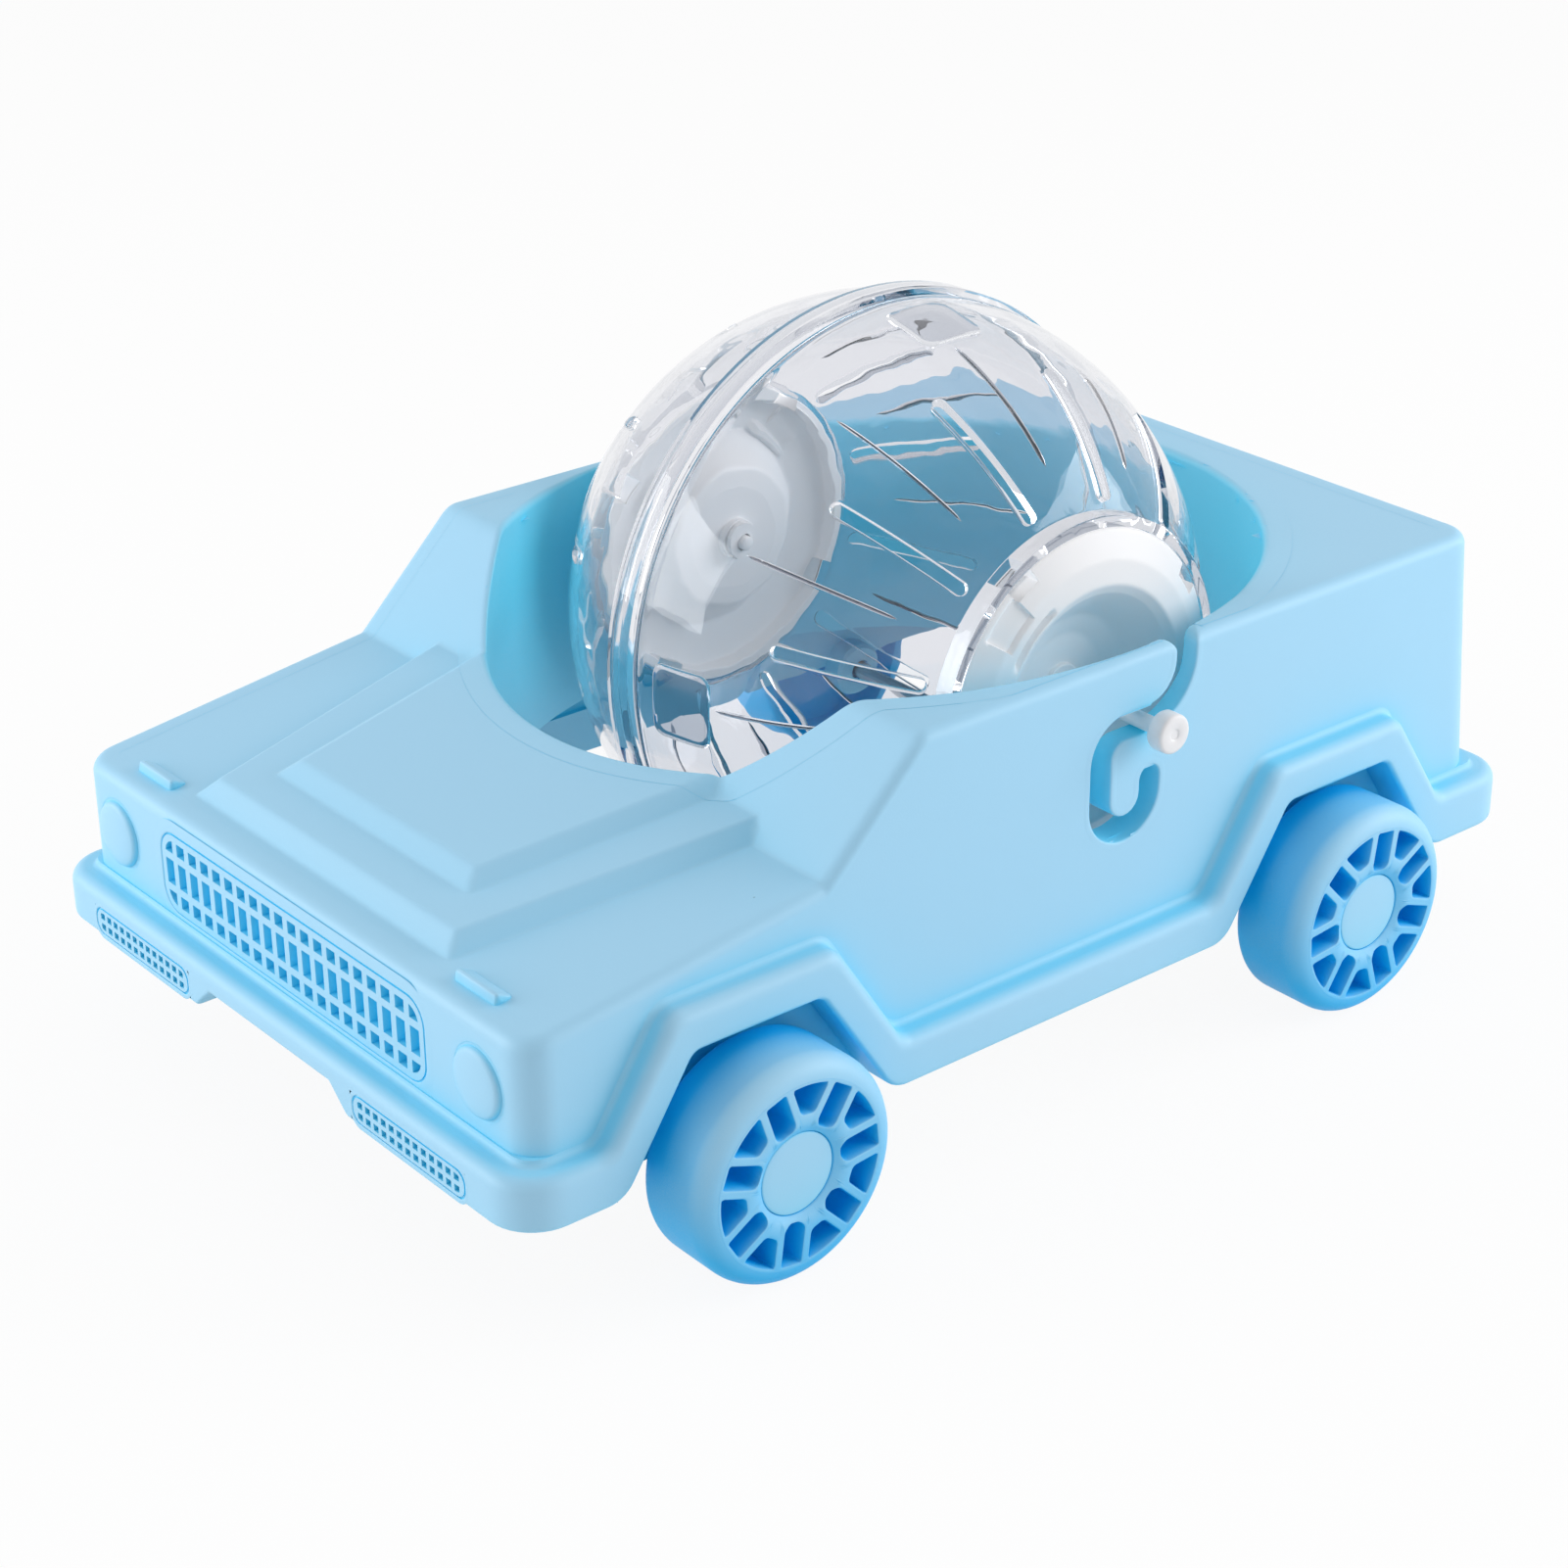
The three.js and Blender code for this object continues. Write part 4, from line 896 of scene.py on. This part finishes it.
def wheel(first_angle):
    """A wheel about Y with its face at y = 0: the tread, back and hub turned from one profile, and a face of
    straight and wedge windows, each in a cell that ends on the middle of its spokes."""
    count, lean = 7, np.pi / 7
    hub, rim, spoke = 7.75, 17.2, 2.9
    wedge_rim, wedge_clear = 16.6, 3.7
    inner_p, outer_p = math.sqrt(hub**2 - spoke**2), math.sqrt(rim**2 - spoke**2)

    def four_sided(in_p, in_q, out_p, out_q, radii):
        return filleted([(in_p, -in_q), (out_p, -out_q), (out_p, out_q), (in_p, in_q)], radii, 5, 6)

    def half_at(p, clear):
        return (p * math.sin(lean) - clear) / math.cos(lean)

    def on_circles(cell, p_in, p_out):
        p, q = cell.T
        at_rim, at_hub = np.sqrt(rim**2 - q**2), np.sqrt(hub**2 - q**2)
        return np.stack([np.where(p > p_out - 0.02, at_rim, np.where(p < p_in + 0.02, at_hub, p)), q], 1)

    straight = four_sided(8.8, 2.1, 16.5, 2.1, [1.6, 0.4, 0.4, 1.6])
    straight_cell = four_sided(inner_p, spoke, outer_p, spoke, 0.01)
    low_p, high_p = 11.4, 16.25
    high_q = half_at(high_p, wedge_clear)
    wedge = four_sided(low_p, half_at(low_p, wedge_clear), high_p, high_q, [1.2, 0.4, 0.4, 1.2])
    near_p = inner_p * math.cos(lean) + spoke * math.sin(lean)
    far_p = outer_p * math.cos(lean) + spoke * math.sin(lean)
    wedge_cell = four_sided(near_p, half_at(near_p, spoke), far_p, half_at(far_p, spoke), 0.01)
    bulge = np.sqrt(wedge_rim**2 - np.minimum(np.abs(wedge[:, 1]), high_q) ** 2)
    wedge[:, 0] = np.maximum(wedge[:, 0], np.where(wedge[:, 0] > high_p - 0.3, bulge, 0))
    faces = [pierced(on_circles(straight_cell, inner_p, outer_p), straight),
             pierced(on_circles(wedge_cell, near_p, far_p), wedge)]
    parts = []
    for n in range(2 * count):
        p, q, deep = np.moveaxis(faces[n % 2], -1, 0)
        turn = math.radians(first_angle) + n * lean
        x = p * math.cos(turn) - q * math.sin(turn)
        z = p * math.sin(turn) + q * math.cos(turn)
        parts.append(tube(xyz(x, -deep, z)))
    profile = np.concatenate([
        [(17.0, -0.06), (17.2, -0.02)],
        arc(16.8, -4, 4, 84, 0, 10), arc(18.8, -13.8, 2, 0, -90, 7),
        [(18.0, -WHEEL_WIDE), (17.8, -15.6), (17.8, -8.2), (17.6, -8.0), (5.7, -8.0), (5.5, -8.2),
         (5.5, -18.3), (1.9, -18.3), (1.9, -2.6), (7.4, -2.6), (7.6, -2.4), (7.6, -1.15), (7.66, -1.0),
         (7.85, -0.9)],
    ])
    return parts + [turned(profile, 112)]


def hub_disc():
    """The flat disc in a wheel's hub, with a rounded edge and a faint dome."""
    return turned([(0.0, -0.9), (3.0, -0.92), (5.5, -0.96), (7.1, -1.0), (7.38, -1.05), (7.5, -1.2),
                   (7.5, -2.2), (0.0, -2.2)], 72)


def at_side(sheets, side, x, y, z):
    """Sheets made about the origin for the left, put at a place, turned half round for the right."""
    turn, place = np.array([side, side, 1]), np.array([x, side * y, z])
    return [(points * turn + place, faces) for points, faces in sheets]


HANDS = (("left", 1), ("right", -1))
for end, axle_x, angle in (("front", FRONT_AXLE_X, 20.7), ("rear", REAR_AXLE_X, -4.9)):
    for hand, side in HANDS:
        tyre = at_side(wheel(angle), side, axle_x, WHEEL_FACE_Y, WHEEL_R)
        disc = at_side([hub_disc()], side, axle_x, WHEEL_FACE_Y, WHEEL_R)
        make_piece(f"wheel_{end}_{hand}_moulding", tyre, "light_blue_plastic", end + "_wheels",
                   (f"wheel_{end}_{hand}",), 45, wheel_blue)
        make_piece(f"hub_disc_{end}_{hand}", disc, "light_blue_plastic", end + "_wheels",
                   (f"hub_cap_{end}_{hand}",), 45)


# Ball
def on_ball(theta, phi, radius):
    """A place on the ball from the angle from the left pole, the angle round the axle, and a radius."""
    x = BALL_X + radius * np.sin(theta) * np.cos(phi)
    y = radius * np.cos(theta)
    z = PIN_Z + radius * np.sin(theta) * np.sin(phi)
    return xyz(x, y, z)


def ball_shell(is_right):
    """Half of the ball's outer face. Each of twelve sectors is a ring of grid lines that runs from its slot's
    outline out to the sector's edges. Rows from there go down to the seam and up the collar round the hole.
    The right half has the raised band along the seam."""
    slots, along, across = 12, 16, 12
    start, end, half = np.radians(35), np.radians(62), 1.3
    low, high = math.asin(COLLAR_R / BALL_R), np.radians(66)
    first = np.radians(15.5)
    cap = half / BALL_R
    run = end - start - 2 * cap
    long_side = np.linspace(0, 1, along, endpoint=False)
    short_side = np.linspace(0, 1, across, endpoint=False)
    bow = np.pi * short_side
    theta_in = np.concatenate([
        start + cap + run * long_side, end - cap + cap * np.sin(bow),
        end - cap - run * long_side, start + cap - cap * np.sin(bow),
    ])
    side_in = np.concatenate([0 * long_side + 1, np.cos(bow), 0 * long_side - 1, -np.cos(bow)])
    phi_in = side_in * half / (BALL_R * np.sin(theta_in))
    sector = np.pi / slots
    theta_out = np.concatenate([
        low + (high - low) * long_side, high + 0 * bow, high - (high - low) * long_side, low + 0 * bow,
    ])
    phi_out = sector * np.concatenate([
        0 * long_side + 1, 1 - 2 * short_side, 0 * long_side - 1, 2 * short_side - 1,
    ])
    share = np.array([0, 0.03, 0.09, 0.18, 0.3, 0.46, 0.64, 0.82, 1.0])[:, None]
    theta = theta_in * (1 - share) + theta_out * share
    phi = phi_in * (1 - share) + phi_out * share
    turns = first + 2 * sector * np.arange(slots)
    parts = [tube(on_ball(theta, phi + turn, BALL_R), flip=True) for turn in turns]
    round_phi = first + sector + 2 * np.pi * np.arange(slots * across) / (slots * across)
    band_y, band_r = (5.95, 4.0, 2.0, SEAM_GAP), 61.2
    last_y = band_y[0] if is_right else SEAM_GAP
    rows = [on_ball(np.linspace(high, math.acos(last_y / BALL_R), 14)[:, None], round_phi, BALL_R)]
    if is_right:
        rows += [on_ball(math.atan2(band_r, y), round_phi, math.hypot(band_r, y))[None] for y in band_y]
    parts.append(tube(np.concatenate(rows)))
    collar_y = np.array([math.cos(low) * BALL_R, 52.0, 53.2, COLLAR_TOP])[:, None]
    collar = xyz(BALL_X + COLLAR_R * np.cos(round_phi), collar_y, PIN_Z + COLLAR_R * np.sin(round_phi))
    parts.append(tube(collar, flip=True))
    return [mirrored(part) for part in parts] if is_right else parts


def ball_ribs():
    """Twelve thin ribs inside the left half, each a round bar along a meridian, drawn in at its ends."""
    theta = np.radians(np.linspace(43, 72, 24))[:, None]
    angle = np.linspace(0, 2 * np.pi, 8, endpoint=False)
    swell = np.sqrt(np.clip(1 - ((theta - theta.mean()) / np.ptp(theta) * 2) ** 8, 0.0, 1))
    radius = BALL_R - BALL_WALL - 0.5 + swell * 0.45 * np.sin(angle)
    bend = swell * 0.4 * np.cos(angle) / (BALL_R * np.sin(theta))
    return [tube(on_ball(theta, np.radians(0.5 + 30 * n) + bend, radius)) for n in range(12)]


def ball_latches():
    """Four latch tongues by the seam on the left half: low plates with rounded corners, bent to the ball."""
    outline = rectangle(0, 0, 14.0, 13.0, 2.4, 6, 6)
    top = [(size, 0.8) for size in (0.0, 0.2, 0.4, 0.6, 0.75)]
    edge = [(0.86, 0.79), (0.94, 0.72), (0.98, 0.6), (1.0, 0.4), (1.0, 0.2), (0.97, 0.05)]
    foot = [(size, 0.05) for size in (0.8, 0.6, 0.4, 0.2, 0.0)]
    size, rise = np.array(top + edge + foot).T[..., None]
    theta = np.radians(78) + outline[:, 1] * size / BALL_R
    turn = outline[:, 0] * size / (BALL_R * np.sin(theta))
    turns = np.radians(0.5 + 90 * np.arange(4))
    return [tube(on_ball(theta, start + turn, BALL_R + rise), flip=True) for start in turns]


for hand, side in HANDS:
    make_piece(f"ball_shell_{hand}", ball_shell(side < 0), "clear_plastic", "ball", (f"ball_half_{hand}",),
               35, wall=BALL_WALL, bevel=0.4)
make_piece("ball_ribs_left", ball_ribs(), "clear_plastic", "ball")
make_piece("ball_ribs_right", [mirrored(rib) for rib in ball_ribs()], "clear_plastic", "ball")
make_piece("ball_latches_left", ball_latches(), "clear_plastic", "ball")


# End caps and pins
def end_cap():
    """A cap about Y: one closed section, rounded at its corners, turned about the axle. Four notches pull the
    rim in, and a finger pocket and a slit beside the dish sink the face."""
    edge, rise = COLLAR_TOP, 2.7
    floor = edge + rise - 8.7
    corners = [
        (CAP_R, edge - 5.5), (CAP_R, edge - 0.2), (25.6, edge + 2.1), (21.2, edge + rise + 0.1),
        (19.4, edge + rise - 1.0), (13.6, floor + 1.7), (9.6, floor), (4.0, floor), (4.0, floor + 1.0),
        (1.9, floor + 1.0), (1.9, floor - 4.0), (4.0, floor - 4.0), (4.0, floor - 2.0), (10.7, floor - 2.0),
        (14.5, floor - 1.4), (20.9, edge + 0.2), (CAP_R - 2, edge - 2), (CAP_R - 2, edge - 5.5),
    ]
    radii = [0.3, 0.9, 4.0, 1.2, 1.6, 4.0, 3.0, 0.2, 0.3, 0.2, 0.2, 0.2, 0.2, 1, 2, 1, 0.5, 0.3]
    profile = filleted(corners, radii, 4, 9)
    notch_half, notch_floor, no_limit = np.radians(5.6), 28.3, 99.0
    notch_at = np.radians(58 + 90 * np.arange(4))
    notch_shares = np.array([-1.04, -1.0, -0.96, -0.5, 0, 0.5, 0.96, 1.0, 1.04])
    notch_edges = (notch_at[:, None] + notch_shares * notch_half).ravel()
    pocket_at, pocket_half, pocket_depth = np.radians(44), np.radians(8.8), 0.9
    pocket_edges = pocket_at + np.array([-1.03, -1.0, 1.0, 1.03]) * pocket_half
    slit_at, slit_r, slit_depth = np.radians(46), 21.9, 1.8
    even = np.linspace(0, 2 * np.pi, 160, endpoint=False)
    angle = np.sort(np.concatenate([even, notch_edges % (2 * np.pi), pocket_edges]))
    off = np.abs((angle[:, None] - notch_at + np.pi) % (2 * np.pi) - np.pi).min(1)
    limit = np.interp(off, [0.97 * notch_half, notch_half], [notch_floor, no_limit])
    radius = np.minimum(profile[:, :1], limit)
    slit = np.exp(-((radius - slit_r) / 0.55) ** 4 - ((angle - slit_at) / 0.26) ** 8)
    in_pocket = np.abs(angle - pocket_at) < 1.01 * pocket_half
    pocket = in_pocket * np.clip((2.6 - np.abs(radius - 26.9)) / 0.4, 0, 1)
    sunk = (profile[:, 1:] > floor + 0.4) * (slit * slit_depth + pocket * pocket_depth)
    places = xyz(radius * np.cos(angle), profile[:, 1:] - sunk, radius * np.sin(angle))
    return sheet(places, True, True, flip=True)


def axle_pin():
    """A pin about Y with its round knob: the knob has soft edges and a small dimple in its face."""
    return turned([
        (0.0, 41.3), (1.3, 41.3), (1.5, 41.5), (1.5, 73.1), (1.8, 73.4), (3.1, 73.4), (3.5, 73.55),
        (3.7, 73.9), (3.7, 76.3), (3.62, 76.65), (3.4, 76.9), (3.0, 77.0), (1.25, 77.0), (1.05, 76.9),
        (0.9, 76.72), (0.0, 76.7),
    ], 64)


for hand, side in HANDS:
    make_piece(f"cap_moulding_{hand}", at_side([end_cap()], side, BALL_X, 0, PIN_Z), "white_plastic",
               f"{hand}_end_cap", (f"end_cap_{hand}",), 48)
    make_piece(f"pin_and_knob_{hand}", at_side([axle_pin()], side, BALL_X, 0, PIN_Z), "white_plastic",
               "ball_pins", (f"axle_pin_{hand}",), 48)


# Stage
def seen_rays(tree):
    """1 for rays from the camera, mirror reflections and clear plastic, and 0 for rays that carry light."""
    path = tree.nodes.new("ShaderNodeLightPath").outputs
    either = worked_out(tree, "MAXIMUM", path["Is Camera Ray"], path["Is Glossy Ray"])
    return worked_out(tree, "MAXIMUM", either, path["Is Transmission Ray"])


FLOOR_GLOW = 0.92
FLOOR_HALF = 4.0
SKY_LIGHT = 0.54
floor_corners = [(u * FLOOR_HALF, v * FLOOR_HALF, 0) for u, v in ((-1, -1), (1, -1), (1, 1), (-1, 1))]
floor_mesh = bpy.data.meshes.new("floor")
floor_mesh.from_pydata(floor_corners, [], [(0, 1, 2, 3)])
floor_finish, floor_tree, floor_shader, _ = finish_tree("pale floor")
feed(floor_tree, floor_shader, {"Base Color": (0.9, 0.9, 0.9, 1), "Roughness": 0.9})
floor_mix = add_node(floor_tree, "MixShader", {
    "Fac": ranged(floor_tree, seen_rays(floor_tree), 0, 1, 0, FLOOR_GLOW),
    1: floor_shader.outputs["BSDF"],
    2: floor_tree.nodes.new("ShaderNodeEmission").outputs["Emission"],
})
feed(floor_tree, floor_tree.nodes["Material Output"], {"Surface": floor_mix.outputs["Shader"]})
floor_mesh.materials.append(floor_finish)
add_object("floor", floor_mesh)

scene = bpy.context.scene
scene.view_settings.view_transform = "Standard"
scene.world = bpy.data.worlds.new("studio")
scene.world.use_nodes = True
sky = scene.world.node_tree
sky_level = ranged(sky, seen_rays(sky), 0, 1, SKY_LIGHT, 1.0)
feed(sky, sky.nodes["Background"], {"Color": (1, 1, 1, 1), "Strength": sky_level})


def softbox(name, place, aim, wide, tall, power):
    """A soft rectangular lamp that looks at a place."""
    lamp = bpy.data.lights.new(name, "AREA")
    with_settings(lamp, shape="RECTANGLE", size=wide, size_y=tall, energy=power)
    holder = add_object(name, lamp)
    holder.location = place
    holder.rotation_euler = (Vector(aim) - Vector(place)).to_track_quat("-Z", "Y").to_euler()


softbox("side", (-0.66, 0.53, 0.36), (-0.02, 0, 0.05), 0.7, 0.5, 4.6)
softbox("front", (0.72, -0.53, 0.3), (0.02, 0, 0.05), 0.7, 0.5, 4.6)
softbox("overhead", (-0.1, 0.0, 1.3), (0, 0, 0.05), 1.0, 1.0, 0.9)

# Camera at the photograph's view
CAMERA_PLACE = (0.3560, 0.4289, 0.3090)
azimuth, elevation, roll = math.radians(140.66), math.radians(25.95), math.radians(-0.47)
camera = with_settings(bpy.data.cameras.new("camera"), sensor_width=36, lens=74.53, clip_start=0.01)
camera_holder = add_object("camera", camera)
look = Euler((math.pi / 2 - elevation, 0, azimuth)).to_quaternion() @ Quaternion((0, 0, 1), roll)
camera_holder.matrix_world = Matrix.LocRotScale(Vector(CAMERA_PLACE), look, None)
scene.camera = camera_holder
